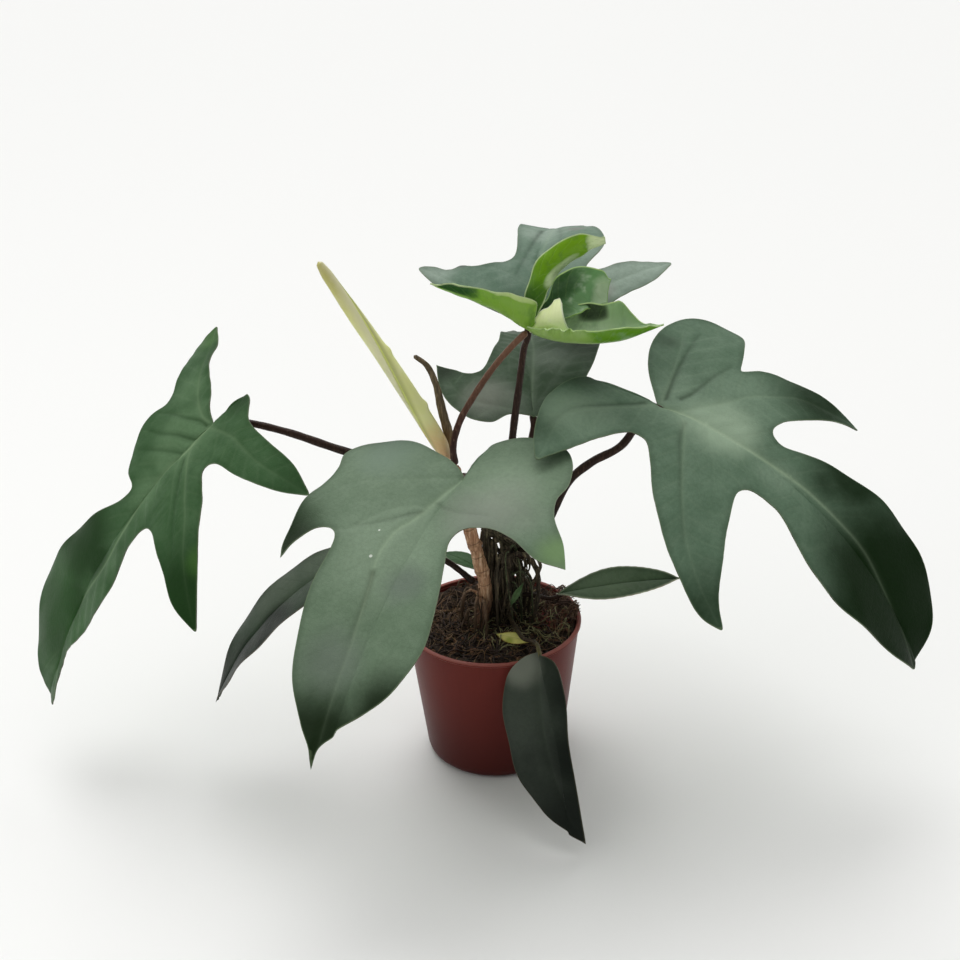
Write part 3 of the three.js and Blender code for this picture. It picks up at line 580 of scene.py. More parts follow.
leftLeaf = {
    'joint': (-178, 12, 243.4), 'heading': 195, 'pitchStart': -38, 'pitchEnd': -72, 'length': 230,
    'roll': 16, 'fold': 10, 'droop': 180, 'blunt': 5,
    'outline': [
        [(-2, -6), (4, -18), (0, -29), (-12, -30), (-27, -23), (-53, -26), (-81, -31), (-106, -28)],
        [(-89, -14), (-57, 3), (-36, 11), (-33, 18), (-57, 35), (-95, 70), (-104, 80), (-113, 93)],
        [(-89, 91), (-57, 79), (-35, 73), (-24, 77), (-23, 88), (-29, 115), (-29, 144), (-20, 170),
         (-10, 190), (-9, 206), (-16, 226)],
        [(8, 225), (37, 206), (55, 182), (60, 165), (54, 141), (36, 107), (18, 80), (15, 70), (31, 67)],
        [(45, 54), (55, 34), (53, 19), (68, 4), (87, -13), (91, -35)],
        [(65, -29), (54, -21), (39, -15), (24, -10), (10, -3), (0, 0)],
    ],
    'veins': [
        ([(-1, 1), (-3, 25), (1, 37), (1, 50), (-1, 70), (-5, 94), (-8, 111), (-7, 128), (-4, 143), (-1, 161),
          (1, 195), (-12, 222)], 1, 0.8),
        ([(4, 4), (9, 5), (22, 13), (37, 20), (50, 28)], -1, 0.8),
        ([(5, 1), (11, 3), (32, -1), (48, -9), (68, -22), (88, -32)], 0.6, 0.9),
        ([(-2, 13), (4, 17), (18, 25), (31, 34), (48, 42)], -1, 0.8),
        ([(2, 28), (12, 35), (38, 53)], -0.8, 0.6),
        ([(-8, 29), (-20, 38), (-42, 54), (-64, 70)], -0.7, 0.6),
        ([(-3, 18), (-9, 25), (-26, 34), (-39, 41), (-52, 48), (-69, 62), (-109, 90)], 0.6, 0.6),
        ([(-4, 32), (-10, 38), (-20, 44), (-33, 52), (-44, 61)], 0.35, 0.4),
        ([(-3, 2), (-29, -8), (-49, -11), (-64, -14), (-82, -20), (-102, -27)], 0.5, 0.8),
        ([(-3, 2), (-12, -12), (-4, -25)], 0.3, 0.4),
    ],
    'darker': [(-92, 82, 46, 0.9), (30, 124, 34, 1.1), (26, 176, 32, 1), (6, 122, 16, 1), (10, 158, 20, 1),
               (-96, -28, 30, 0.5), (0, -28, 20, 0.8), (60, -26, 18, 0.4), (-20, 100, 14, 0.3)],
    'lighter': [(10, 22, 30, 1), (44, 2, 20, 0.6), (0, 62, 20, 0.8), (-18, 150, 22, 0.4),
                (-16, 112, 12, 0.5), (8, 40, 12, 1)],
}

frontLeaf = {
    'joint': (-16.6, -58, 232.9), 'heading': 240, 'pitchStart': -13, 'pitchEnd': -58, 'length': 205,
    'roll': 0, 'fold': 10, 'droop': 250,
    'outline': [
        [(9, -7), (20, -13), (40, -18), (60, -16), (77, -9), (84, 3), (81, 16), (83, 32), (87, 46),
         (86, 66), (83, 80), (78, 90)],
        [(76, 78), (68, 66), (56, 64), (50, 69), (49, 95), (43, 132), (34, 159), (22, 178),
         (13, 189), (8.5, 200)],
        [(8, 188), (-1, 177), (-15, 163), (-29, 146), (-36, 122), (-34, 98), (-25, 68), (-21, 52), (-25, 42),
         (-38, 38), (-56, 42), (-75, 50), (-93, 51)],
        [(-84, 34), (-71, 18), (-66, 4), (-66, -12), (-60, -30), (-49, -42), (-34, -46), (-15, -43),
         (-3, -37), (2, -24), (0, 0)],
    ],
    'veins': [
        ([(0, 1), (4, 16), (7, 31), (11, 44), (16, 53), (18, 64), (18, 75), (14, 94), (10, 124),
          (9, 151), (8, 194)], 0.9, 0.8),
        ([(7, 31), (21, 36), (33, 46), (46, 62), (69, 68), (78, 87)], 0.3, 0.5),
        ([(1, 1), (34, 17), (63, 28), (82, 48)], 0.35, 0.5),
        ([(0, -1), (-11, -8), (-24, -15), (-50, -32)], 0.4, 0.5),
        ([(-2, 3), (-10, 6), (-21, -3), (-37, -7)], 0.25, 0.4),
        ([(-2, 5), (-10, 8), (-26, 13), (-51, 22), (-73, 36), (-91, 49)], 0.4, 0.5),
        ([(16, 84), (13, 100), (11, 126)], -1, 0.9),
        ([(4, 26), (-12, 30), (-34, 30)], -0.4, 0.5),
        ([(9, 36), (30, 52), (44, 58)], -0.5, 0.5),
    ],
    'darker': [(8, 202, 50, 1.25), (-26, 160, 28, 0.9), (86, 84, 38, 0.95), (-86, 44, 22, 0.35),
               (30, 150, 30, 0.3), (62, -22, 20, 0.5)],
    'quilted': 0.08,
    'lighter': [(14, 70, 40, 1), (-34, -4, 30, 0.8), (50, 12, 30, 0.4)],
}

crownLeaf = {
    'joint': (26, 13, 303), 'heading': 80, 'pitchStart': 45, 'pitchEnd': -38, 'length': 175, 'roll': 0,
    'fold': 10, 'droop': 240, 'blunt': 10,
    'outline': [
        [(-15, 7), (-45, 19), (-65, 30), (-78, 44)],
        [(-66, 44), (-55, 41), (-49, 47)],
        [(-40, 44), (-28, 48), (-18, 52), (-15, 60), (-17, 85), (-20, 112), (-17, 140), (4, 176)],
        [(20, 146), (31, 114), (42, 86), (42, 66), (34, 50), (33, 44), (42, 44), (60, 53), (89, 59)],
        [(79, 40), (63, 27), (42, 9), (20, 2), (0, 0)],
    ],
    'veins': [
        ([(0, 2), (2, 40), (5, 80), (6, 120), (4, 170)], 0.8, 0.8),
        ([(0, 4), (-20, 14), (-45, 27), (-75, 43)], 0.5, 0.6),
        ([(1, 4), (30, 18), (58, 38), (86, 57)], 0.5, 0.6),
        ([(2, 25), (-12, 38), (-32, 44), (-47, 45)], 0.3, 0.4),
        ([(3, 60), (18, 78), (32, 88)], 0.3, 0.4),
        ([(-4, 108), (-6, 80), (-9, 55), (-12, 38)], -1, 0.8),
        ([(10, 110), (14, 80), (16, 50)], -0.5, 0.5),
    ],
    'darker': [(4, 150, 40, 0.55), (-6, 8, 26, 0.5), (20, 70, 16, 0.35)],
    'lighter': [(72, 48, 44, 1.1), (-70, 42, 20, 1), (0, 100, 30, 0.6)],
}

backLeaf = {
    'joint': (30, 30, 235), 'heading': 92, 'pitchStart': 25, 'pitchEnd': -26, 'length': 174, 'roll': 0,
    'fold': 10, 'droop': 200,
    'outline': [
        [(-17, 1), (-28, -5), (-42, -2), (-54, 11), (-61, 30), (-63, 61)],
        [(-52, 50), (-42, 42), (-34, 45), (-30, 52), (-25, 68), (-18, 98), (-12, 138), (4, 174)],
        [(30, 150), (50, 118), (55, 92), (49, 62), (40, 36), (28, 10), (14, 0), (0, 0)],
    ],
    'veins': [
        ([(0, 2), (4, 40), (8, 90), (6, 130), (4, 168)], 0.8, 0.8),
        ([(-1, 3), (-22, 8), (-45, 18), (-62, 57)], 0.45, 0.6),
        ([(1, 6), (14, 30), (30, 60), (44, 90)], 0.35, 0.5),
        ([(2, 25), (-10, 38), (-26, 52)], 0.3, 0.4),
    ],
    'darker': [(50, 84, 34, 0.8), (24, 150, 50, 0.5), (-62, 56, 20, 1)],
    'lighter': [(-22, 10, 24, 1.1), (20, 60, 20, 0.7)],
}

lowLeftLeaf = {
    'joint': (-68, 3, 158), 'heading': 190, 'pitchStart': -13, 'pitchEnd': -69, 'length': 172, 'roll': 4,
    'fold': 12, 'droop': 120, 'outline': lanceOutline(172, 52, 0.46),
    'veins': [([(0, 1), (1, 60), (-1, 110), (0, 169)], 0.8, 0.9)], 'quilted': 0.06,
    'darker': [(0, 168, 44, 0.9), (-18, 96, 24, 1.1), (-14, 130, 24, 1.1)],
    'lighter': [(14, 84, 26, 1), (12, 50, 24, 0.8)],
}

droopLeaf = {
    'joint': (27, -65, 112.5), 'heading': -74, 'pitchStart': -45, 'pitchEnd': -76, 'length': 128, 'roll': -35,
    'fold': -6, 'droop': 140,
    'outline': [
        [(12, 1), (27, 9), (35, 30), (36, 58), (30, 84), (16, 104), (-1, 117), (-11, 124)],
        [(-10, 100), (-9, 60), (-12, 30), (-10, 9), (0, 0)],
    ],
    'veins': [([(0, 1), (6, 25), (8, 55), (5, 85), (-9, 121)], 0.8, 0.9)], 'quilted': 0.03,
    'darker': [(-12, 70, 22, 0.9), (-8, 118, 40, 1), (-12, 30, 16, 0.6)],
    'lighter': [(24, 30, 34, 0.9)],
}

smallRightLeaf = {
    'joint': (43, 4, 114.5), 'heading': -6, 'pitchStart': 16, 'pitchEnd': 4, 'length': 86, 'roll': -25,
    'fold': 10, 'droop': 90, 'outline': lanceOutline(86, 27, 0.5), 'step': 1.6, 'border': 1.1,
    'veins': [([(0, 1), (1, 40), (0, 84)], 0.7, 0.6)],
    'darker': [(-4, 84, 12, 0.5)], 'lighter': [(4, 30, 30, 0.8)], 'wave': 0.4,
}

smallBackLeaf = {
    'joint': (-6, 17, 126), 'heading': 142, 'pitchStart': 20, 'pitchEnd': -10, 'length': 38, 'roll': 0,
    'fold': 12, 'droop': 60, 'outline': lanceOutline(38, 18, 0.5), 'step': 1.4, 'border': 1.0,
    'veins': [([(0, 1), (0, 20), (0, 37)], 0.7, 0.5)],
    'darker': [(0, 38, 12, 0.6)], 'wave': 0.3, 'thick': 1.6,
}

fallenLeaf = {
    'joint': (25, -33, 99.4), 'heading': 148, 'pitchStart': 2, 'pitchEnd': -8, 'length': 29, 'roll': 22,
    'fold': -20, 'droop': -14, 'outline': lanceOutline(29, 12, 0.5), 'step': 0.9, 'border': 0.7,
    'veins': [([(0, 1), (0, 14), (0, 28)], 0.9, 0.3)],
    'darker': [(-5, 16, 5, 0.8)], 'wave': 0.2, 'thick': 1.2,
}

sproutLeaf = {
    'joint': (10.5, -4.5, 108), 'heading': 16, 'pitchStart': 68, 'pitchEnd': 52, 'length': 23, 'roll': -80,
    'fold': 16, 'droop': 30, 'outline': lanceOutline(23, 7.5, 0.55), 'step': 0.9, 'border': 0.7,
    'veins': [([(0, 1), (0, 12), (0, 22)], 0.9, 0.3)],
    'darker': [(0, 0, 6, 0.5)], 'lighter': [(0, 12, 8, 0.8)], 'wave': 0.2, 'thick': 1.0,
}

# its pale patches along the midrib and on a basal lobe are painted sheen
rightLook = {
    **matureLook, 'shine': 0.06,
    'patches': [(-4, 42, 34, (166, 186, 160), 0.6), (40, -50, 26, (136, 158, 134), 0.4)],
}
leftLook = {
    **matureLook, 'face': (56, 88, 52), 'deep': (24, 56, 17), 'bloom': (94, 124, 88), 'vein': (132, 156, 118),
    'ribShow': 0.75,
    'patches': [(82, -26, 20, (78, 118, 46), 0.3), (-84, 56, 16, (70, 112, 44), 0.5),
                (26, 168, 46, (36, 84, 26), 0.45), (-16, 168, 26, (52, 96, 44), 0.35)],
}
frontLook = {
    **matureLook, 'face': (100, 121, 97), 'bloom': (126, 146, 122), 'deep': (24, 40, 18), 'sideVeins': 0.02,
    'ribShow': 0.6, 'specks': [(22, 75, 1.2), (26, 57, 0.8)],
    'patches': [(-84, 40, 20, (104, 134, 84), 0.8), (-36, 26, 40, (136, 140, 130), 0.5),
                (-6, 86, 20, (92, 102, 94), 0.6), (56, -8, 36, (112, 132, 116), 0.6),
                (16, 140, 26, (112, 122, 112), 0.5)],
}
crownLook = {
    **matureLook, 'face': (94, 120, 100), 'deep': (34, 58, 38), 'bloom': (152, 168, 154), 'sideVeins': 0.03,
    'ribShow': 0.4,
    'patches': [(-4, 136, 10, (124, 116, 112), 0.6), (22, 104, 9, (120, 118, 112), 0.6),
                (-48, 47, 6, (92, 96, 92), 0.8), (44, 26, 14, (150, 146, 142), 0.6)],
}
backLook = {
    **matureLook, 'face': (62, 80, 60), 'deep': (30, 44, 26), 'bloom': (112, 124, 110), 'ribShow': 0.35,
    'shine': 0.04, 'patches': [(-32, 18, 26, (126, 128, 118), 0.6)],
}
darkLook = {
    **matureLook, 'face': (62, 76, 61), 'deep': (26, 36, 25), 'bloom': (88, 100, 84), 'vein': (104, 116, 98),
    'under': (78, 92, 76), 'underDeep': (62, 74, 60), 'margin': (92, 88, 70), 'marginDark': (52, 44, 36),
    'veinGap': 9, 'veinReach': 22, 'ribShow': 0.3, 'sideVeins': 0.02, 'rough': 0.38,
}
# the pale patch near the leaf's foot is partly dust and partly a painted highlight
droopLook = {
    **darkLook, 'face': (46, 53, 45), 'deep': (22, 28, 22), 'bloom': (70, 78, 68), 'ribShow': 0.15,
    'sideVeins': 0.0, 'patches': [(14, 5, 20, (128, 132, 120), 0.8)],
}
smallRightLook = {
    **darkLook, 'face': (78, 98, 72), 'bloom': (110, 128, 102), 'margin': (186, 194, 166),
    'marginDark': (150, 130, 110), 'veinGap': 6, 'marginWidth': 1.4,
}
smallBackLook = {**leftLook, 'veinGap': 5, 'veinReach': 10}
yellowLook = {
    **matureLook, 'face': (238, 226, 134), 'deep': (150, 158, 60), 'bloom': (250, 244, 196),
    'vein': (84, 100, 34), 'ribShow': 1, 'under': (196, 184, 90), 'underDeep': (160, 140, 62),
    'margin': (150, 112, 50), 'marginDark': (90, 60, 30), 'veinGap': 4, 'veinReach': 8,
}
sproutLook = {**leftLook, 'face': (78, 112, 66), 'bloom': (118, 144, 100), 'veinGap': 4}

buildBlade('blade_right', rightLeaf, rightLook, 'mature_leaf', 'right_leaf_blade')
buildBlade('blade_left', leftLeaf, leftLook, 'mature_leaf', 'left_leaf_blade')
buildBlade('blade_front', frontLeaf, frontLook, 'mature_leaf', 'front_leaf_blade')
buildBlade('blade_crown', crownLeaf, crownLook, 'mature_leaf', 'crown_leaf_blade')
buildBlade('blade_back', backLeaf, backLook, 'mature_leaf', 'back_leaf_blade')
buildBlade('blade_low_left', lowLeftLeaf, darkLook, 'dark_leaf', 'low_left_leaf_blade')
buildBlade('blade_drooping', droopLeaf, droopLook, 'dark_leaf', 'droop_leaf_blade')
buildBlade('blade_small_right', smallRightLeaf, smallRightLook, 'dark_leaf', 'small_right_leaf_blade')
buildBlade('blade_small_back', smallBackLeaf, smallBackLook, 'mature_leaf', 'small_back_leaf_blade')
buildBlade('yellow_leaf', fallenLeaf, yellowLook, 'yellow_leaf', 'fallen_leaf')
buildBlade('leaf_sprout', sproutLeaf, sproutLook, 'mature_leaf')
print('flat leaves are built')


# stalks, roots and stems: lines with a thickness of their own at each place
def stalkCurve(name, runs, sides=3):
    bpy.ops.curve.primitive_nurbs_path_add()
    stalk = bpy.context.object
    stalk.name = name
    curve = stalk.data
    curve.splines.clear()
    curve.bevel_depth, curve.bevel_resolution = mm, sides
    curve.use_fill_caps = True
    for track, radii in runs:
        line = curve.splines.new('POLY')
        line.points.add(len(track) - 1)
        line.points.foreach_set('co', np.column_stack([track * mm, np.ones(len(track))]).ravel())
        line.points.foreach_set('radius', radii)
    pick(stalk)
    bpy.ops.object.convert(target='MESH')
    return bpy.context.object


def markedStalk(name, runs, sides):
    piece = stalkCurve(name, runs, sides)
    markLine(piece, [track for track, _ in runs])
    return piece


def roundedEnds(track, radii):  # the last bit of each end closes like a dome
    far = lengthAlong(track)
    rest = np.minimum(far, far[-1] - far)
    close = np.clip(rest / np.maximum(radii, 0.1), 0, 1)
    return radii * np.sqrt(np.clip(1 - (1 - close) ** 2, 0.02, 1))


def markLine(piece, tracks):  # length along the line, and share of it, for the finishes
    points = np.vstack(tracks)
    share = np.concatenate([np.linspace(0, 1, len(track)) for track in tracks])
    run = np.concatenate([lengthAlong(track) for track in tracks])
    spots = np.array([v.co for v in piece.data.vertices]) / mm
    nearest = np.concatenate([
        np.argmin(((chunk[:, None] - points[None]) ** 2).sum(2), axis=1)
        for chunk in np.array_split(spots, max(1, len(spots) * len(points) // 4000000))])
    putAttribute(piece.data, 'along', run[nearest])
    putAttribute(piece.data, 'share', share[nearest])


def knots(track, radii, gap, swell, width, first):  # swollen joints along a stem
    far = lengthAlong(track)
    for ring in np.arange(first, far[-1], gap):
        radii = radii + swell * np.exp(-((far - ring) / width) ** 2)
    return radii


def stalkFinish(name, look):
    material, wire = startMaterial(name)
    spot = objectPlace(wire)
    [share] = fromMesh(wire, 'share')
    cloud, grain = spot.noise(60, 4), spot.noise(700, 3)
    streak = spot.scaled(1, 1, 0.12).noise(900, 3)
    fleck = 1 - spot.scaled(1, 1, 0.45).cells(420, 'F1').rising(0.16, 0.24)
    colour = coated(
        look, look['foot'], ((share + (cloud - 0.5) * 0.3).rising(*look['turning']), 'top'),
        (streak.rising(0.45, 0.7) * look['streaky'], 'pale'), (fleck * look['flecks'], 'pale'),
        (grain.rising(0.4, 0.7) * 0.2, 'foot'))
    height = streak * 0.6 + grain * 0.3 + fleck * 0.4
    closeMaterial(wire, colour, look['rough'] + (cloud - 0.5) * 0.2, height, 0.00025, look['shine'])
    return material


petioleLook = {
    'foot': (32, 22, 17), 'top': (52, 34, 27), 'pale': (104, 80, 62), 'streaky': 0.2, 'flecks': 0.25,
    'rough': 0.42, 'shine': 0.14, 'turning': (0.1, 0.95),
}
paleLook = {
    **petioleLook, 'foot': (46, 36, 27), 'top': (112, 106, 72), 'pale': (120, 106, 78), 'streaky': 0.3,
    'turning': (0.8, 1.0),
}
redLook = {**petioleLook, 'foot': (58, 36, 31), 'top': (118, 84, 66), 'pale': (156, 126, 104)}
sheathLook = {
    'foot': (138, 112, 80), 'top': (88, 78, 62), 'pale': (160, 142, 112), 'streaky': 0.5, 'flecks': 0.1,
    'rough': 0.75, 'shine': 0.1, 'turning': (0.05, 0.5),
}


def petioleTip(leaf, radius, run=5):
    below = -(0.7 + radius)
    return [tuple(bladePoints(leaf, np.zeros(1), np.array([float(v)]), np.array([lift]))[0])
            for v, lift in ((-run, below - 1.2), (run, below))]


petioles = {
    'petiole_right': {
        'path': [(18, 8.4, 141), (27, 6.6, 156), (38, 4, 171), (46, 2, 190), (52.5, -0.4, 203),
                 (66, -4, 216.5), (84, -9, 229.5)], 'leaf': rightLeaf, 'radius': (3.2, 2.4),
        'node': 'right_leaf_petiole'},
    'petiole_left': {
        'path': [(-28, -0.6, 204), (-57, 2, 215), (-94, 5, 225), (-130, 8, 238), (-156, 10, 244.5)],
        'leaf': leftLeaf, 'radius': (3.2, 2.2), 'node': 'left_leaf_petiole'},
    'petiole_front': {
        'path': [(-22.3, -7, 203), (-21, -25, 217)], 'leaf': frontLeaf, 'radius': (3, 2.6),
        'node': 'front_leaf_petiole'},
    'petiole_crown': {
        'path': [(11, 10.2, 152.9), (12, 16, 185), (16, 19, 228), (20.5, 19, 262), (24, 18, 288)],
        'leaf': crownLeaf, 'radius': (3, 2), 'node': 'crown_leaf_petiole'},
    'petiole_back': {
        'path': [(12.3, 16.6, 137), (19, 23, 170), (25, 27, 205)], 'leaf': backLeaf, 'radius': (2.8, 2.2),
        'node': 'back_leaf_petiole'},
    'petiole_low_left': {
        'path': [(-11.8, -0.8, 128), (-32, 3, 144)], 'leaf': lowLeftLeaf, 'radius': (2.2, 1.6),
        'node': 'low_left_leaf_petiole'},
    'petiole_drooping': {
        'path': [(8.5, 2.2, 104.5), (13, -15, 104.5), (19, -40, 107.5)], 'leaf': droopLeaf,
        'radius': (1.6, 1.3), 'node': 'droop_leaf_petiole', 'look': paleLook},
    'petiole_small_right': {
        'path': [(13.6, 8, 111), (26, 7, 113)], 'leaf': smallRightLeaf, 'radius': (1.8, 1.3),
        'node': 'small_right_leaf_petiole'},
    'petiole_small_back': {
        'path': [(4, 13.6, 117), (-1, 16, 122)], 'leaf': smallBackLeaf, 'radius': (1.6, 1.1), 'run': 2,
        'node': 'small_back_leaf_petiole'},
    'petiole_young': {
        'path': [(-22.2, -2.6, 216.2), (-23, -3, 229), (-18.5, -2.4, 246), (-8.5, -1.8, 264),
                 (4.5, -1.6, 283), (17, -1.9, 297.5), (25.1, -2.4, 305.4)], 'radius': (2.3, 1.9),
        'foot': 0.05, 'node': 'young_leaf_petiole', 'look': redLook, 'slot': 'red_petiole'},
    'sheath_dry': {
        'path': [(-22.4, 7.1, 211), (-25, 9.6, 228), (-29.5, 8, 250), (-33, 7.5, 269), (-38, 8, 281),
                 (-46, 8, 288)], 'girth': [(0, 1.8), (0.2, 3.3), (0.45, 3), (0.75, 2.1), (1, 1.5)],
        'node': 'sheath', 'look': sheathLook, 'slot': 'dry_sheath'},
}


def buildPetiole(name, stalk):
    points = list(stalk['path'])
    if 'leaf' in stalk:
        points += petioleTip(stalk['leaf'], stalk['radius'][1], stalk.get('run', 5))
    track = flowing(points, 1.0)
    share = np.linspace(0, 1, len(track))
    if 'girth' in stalk:
        radii = easedStops(share, stalk['girth'])[0]
    else:  # swollen foot and knee
        thick, thin = stalk['radius']
        foot, knee = np.exp(-(share * 14) ** 2), np.exp(-((share - 0.97) * 18) ** 2)
        radii = thick + (thin - thick) * share + stalk.get('foot', 0.22) * thick * foot + 0.14 * thin * knee
    radii = radii * (1 + 0.03 * np.sin(share * 61) + 0.02 * np.sin(share * 23 + 1))
    piece = markedStalk(name, [(track, roundedEnds(track, radii))], 5)
    skin = stalkFinish(name + ' skin', stalk.get('look', petioleLook))
    return dress(piece, skin, 0, stalk.get('slot', 'petiole'), stalk['node'])


for name, stalk in petioles.items():
    buildPetiole(name, stalk)
print('petioles are built')


# the two shoots, with the roots that they let down to the soil
def soilHeight(x, y):
    return (92 + 2.5 * np.exp(-(x * x + y * y) / 500) + 1.1 * np.sin(0.33 * x + 1.3) * np.cos(0.29 * y + 0.4)
            + 0.7 * np.sin(0.61 * x - 0.52 * y))


def barkFinish(name, look):
    material, wire = startMaterial(name)
    spot = objectPlace(wire)
    [along] = fromMesh(wire, 'along')
    fibre = spot.scaled(1, 1, 0.09).noise(650, 5, 0.65, 0.4)
    fine = spot.scaled(1, 1, 0.2).noise(1800, 3)
    cloud = spot.noise(90, 4)
    ring = (along / look['ringGap'] + (cloud - 0.5) * 0.3).lines(0.18)
    upright = spot.part(2)
    # painted shade: the bark darkens below about 128 mm and most below 100 mm, near the soil
    groundShade = (1 - (upright + (cloud - 0.5) * 12 * mm).rising(100 * mm, 128 * mm)) * look.get('groundShade', 0)
    colour = coated(
        look, fibre.ramp((0.3, look['dark']), (0.5, look['mid']), (0.7, look['light'])),
        (cloud.rising(0.45, 0.7) * 0.5, 'wash'), (fine.rising(0.5, 0.75) * 0.35, 'dark'),
        (ring * 0.6, 'dark'), (groundShade, 'dark'))
    if 'props' in look:  # the roots round its foot
        beside = spot.scaled(1, 1, 0).away((-0.0065, -0.0012, 0)).rising(4.5 * mm, 8 * mm)
        colour = (beside * (1 - upright.rising(118 * mm, 126 * mm)) * 0.8).mixed(colour, look['props'])
    height = fibre * 0.8 + fine * 0.3 + ring * 0.3
    closeMaterial(wire, colour, 0.78 + (fine - 0.5) * 0.2, height, 0.0006, shine=0.3)
    return material


brownBark = {
    'dark': (66, 44, 33), 'mid': (190, 144, 110), 'light': (238, 208, 176), 'wash': (180, 120, 90),
    'ringGap': 11, 'groundShade': 0.7, 'props': (72, 60, 46),
}
darkBark = {
    'dark': (27, 22, 17), 'mid': (66, 56, 43), 'light': (126, 112, 86), 'wash': (52, 45, 34), 'ringGap': 9,
}
ridges = {'size': 3.2, 'height': 0.8, 'stretch': (1, 1, 0.25)}

mainShoot = {
    'path': [(-6, 0, 62), (-7.5, -1, 94), (-5.6, -1.6, 112), (-5, -1.6, 126), (-7.4, -2, 142), (-13, -3, 165),
             (-19, -2, 190), (-23.5, 0, 215)],
    'radius': (4.6, -0.6, 0.4, 40), 'rootCount': 5, 'seed': 3, 'sector': (1.6, 5.2), 'longRoots': [],
}
sideShoot = {
    'path': [(8, 8, 62), (7, 8, 92), (8, 8, 112), (9, 9, 132), (11, 10, 152)],
    'radius': (6, -1.4, 0.4, 30), 'rootCount': 4, 'seed': 17, 'sector': (0.5, 2.6),
    'longRoots': [[(9, 6, 143), (20, 2, 148), (29, 0, 140), (31, -1, 120), (27, -2, 96.9)]],
}


def chanceFrom(seed):  # the same repeatable numbers as the solids' roots
    state = seed
    while True:
        state = (state * 1664525 + 1013904223) % 4294967296
        yield state / 4294967296


def buildShoot(name, shoot, look, slot, node):
    chance = chanceFrom(shoot['seed'])
    start, change, ripple, pace = shoot['radius']
    track = flowing(shoot['path'], 0.8)
    share = np.linspace(0, 1, len(track))
    radii = start + change * share + ripple * np.sin(share * pace)
    radii = knots(track, radii, 21, 0.7, 1.8, 12)
    runs = [(track, roundedEnds(track, radii))]
    for points in shoot['longRoots']:
        root = flowing(points, 1)
        runs.append((root, roundedEnds(root, 1.25 + 0.3 * np.sin(np.arange(len(root)) * 0.9))))
    for i in range(shoot['rootCount']):
        low, high = shoot['sector']
        angle = low + (high - low) * (i + next(chance)) / shoot['rootCount']
        reach = 11 + 9 * next(chance)
        x, y, _ = shoot['path'][1]
        top = 106 + 14 * next(chance)
        ground = float(soilHeight(x + reach * math.cos(angle), y + reach * math.sin(angle))) + 2.2
        root = flowing([(x + r * math.cos(angle), y + r * math.sin(angle), z) for r, z in (
            (1, top), (reach * 0.55, top + 3), (reach * 0.9, top - 5), (reach, ground))], 1)
        taper = 1.1 - 0.4 * np.linspace(0, 1, len(root))
        runs.append((root, roundedEnds(root, taper)))
    piece = markedStalk(name, runs, 8)
    for vertex in piece.data.vertices:  # ridges along the bark
        spot = Vector([c / ridges['size'] / mm * s for c, s in zip(vertex.co, ridges['stretch'])])
        vertex.co += vertex.normal * noise.fractal(spot, 0.8, 2.1, 3) * ridges['height'] * mm
    return dress(piece, barkFinish(name + ' bark', look), 0, slot, node)


buildShoot('shoot_main', mainShoot, brownBark, 'stem_bark', 'main_shoot')
buildShoot('shoot_side', sideShoot, darkBark, 'dark_stem_bark', 'side_shoot')


# the newest leaf, rolled into a spear: its outer edge winds once round it
spearLeaf = {
    'path': [(-27.2, 3.6, 215), (-29.6, 3.6, 224), (-42, 3, 249), (-62, 6, 284),
             (-82, 8, 317), (-102, 10, 350)],
    'girth': [(0, 2.8), (0.1, 5.2), (0.35, 5.2), (0.65, 4.7), (0.93, 3.8), (1, 2.6)],
    'turns': 0.55, 'lap': 0.8, 'rings': 120, 'sides': 48, 'lips': [(0.28, 1.5), (0.55, 1.3)],
    'foot': (232, 186, 138), 'body': (234, 237, 160), 'tip': (188, 182, 104), 'edge': (240, 236, 206),
    'seam': (236, 246, 130), 'shadow': (150, 158, 76),
}


def sweepRings(track, rings):  # the ring points of a swept tube, kept from twisting
    heading = headings(track)
    side = np.cross(heading[0], (0, 1, 0.2))
    sides = []
    for ahead in heading:
        side = side - ahead * (side @ ahead)
        side /= np.linalg.norm(side)
        sides.append(side)
    side, up = np.array(sides), np.cross(heading, sides)
    return np.stack([track + side * (r * np.cos(a))[:, None] + up * (r * np.sin(a))[:, None]
                     for r, a in rings], 1)


def tubeMesh(name, grid, layers):  # skin over rings of points, closed at both ends
    count, width = grid.shape[:2]
    points = [*grid.reshape(-1, 3), grid[0].mean(0), grid[-1].mean(0)]
    faces = []
    for i in range(count - 1):
        for j in range(width):
            a, b = i * width + j, i * width + (j + 1) % width
            faces.append((a, b, b + width, a + width))
    for j in range(width):
        k = (j + 1) % width
        faces.append((count * width, k, j))
        faces.append((count * width + 1, (count - 1) * width + j, (count - 1) * width + k))
    return meshPiece(name, np.array(points), faces, {
        layer: [*values.ravel(), values[0].mean(), values[-1].mean()] for layer, values in layers.items()})


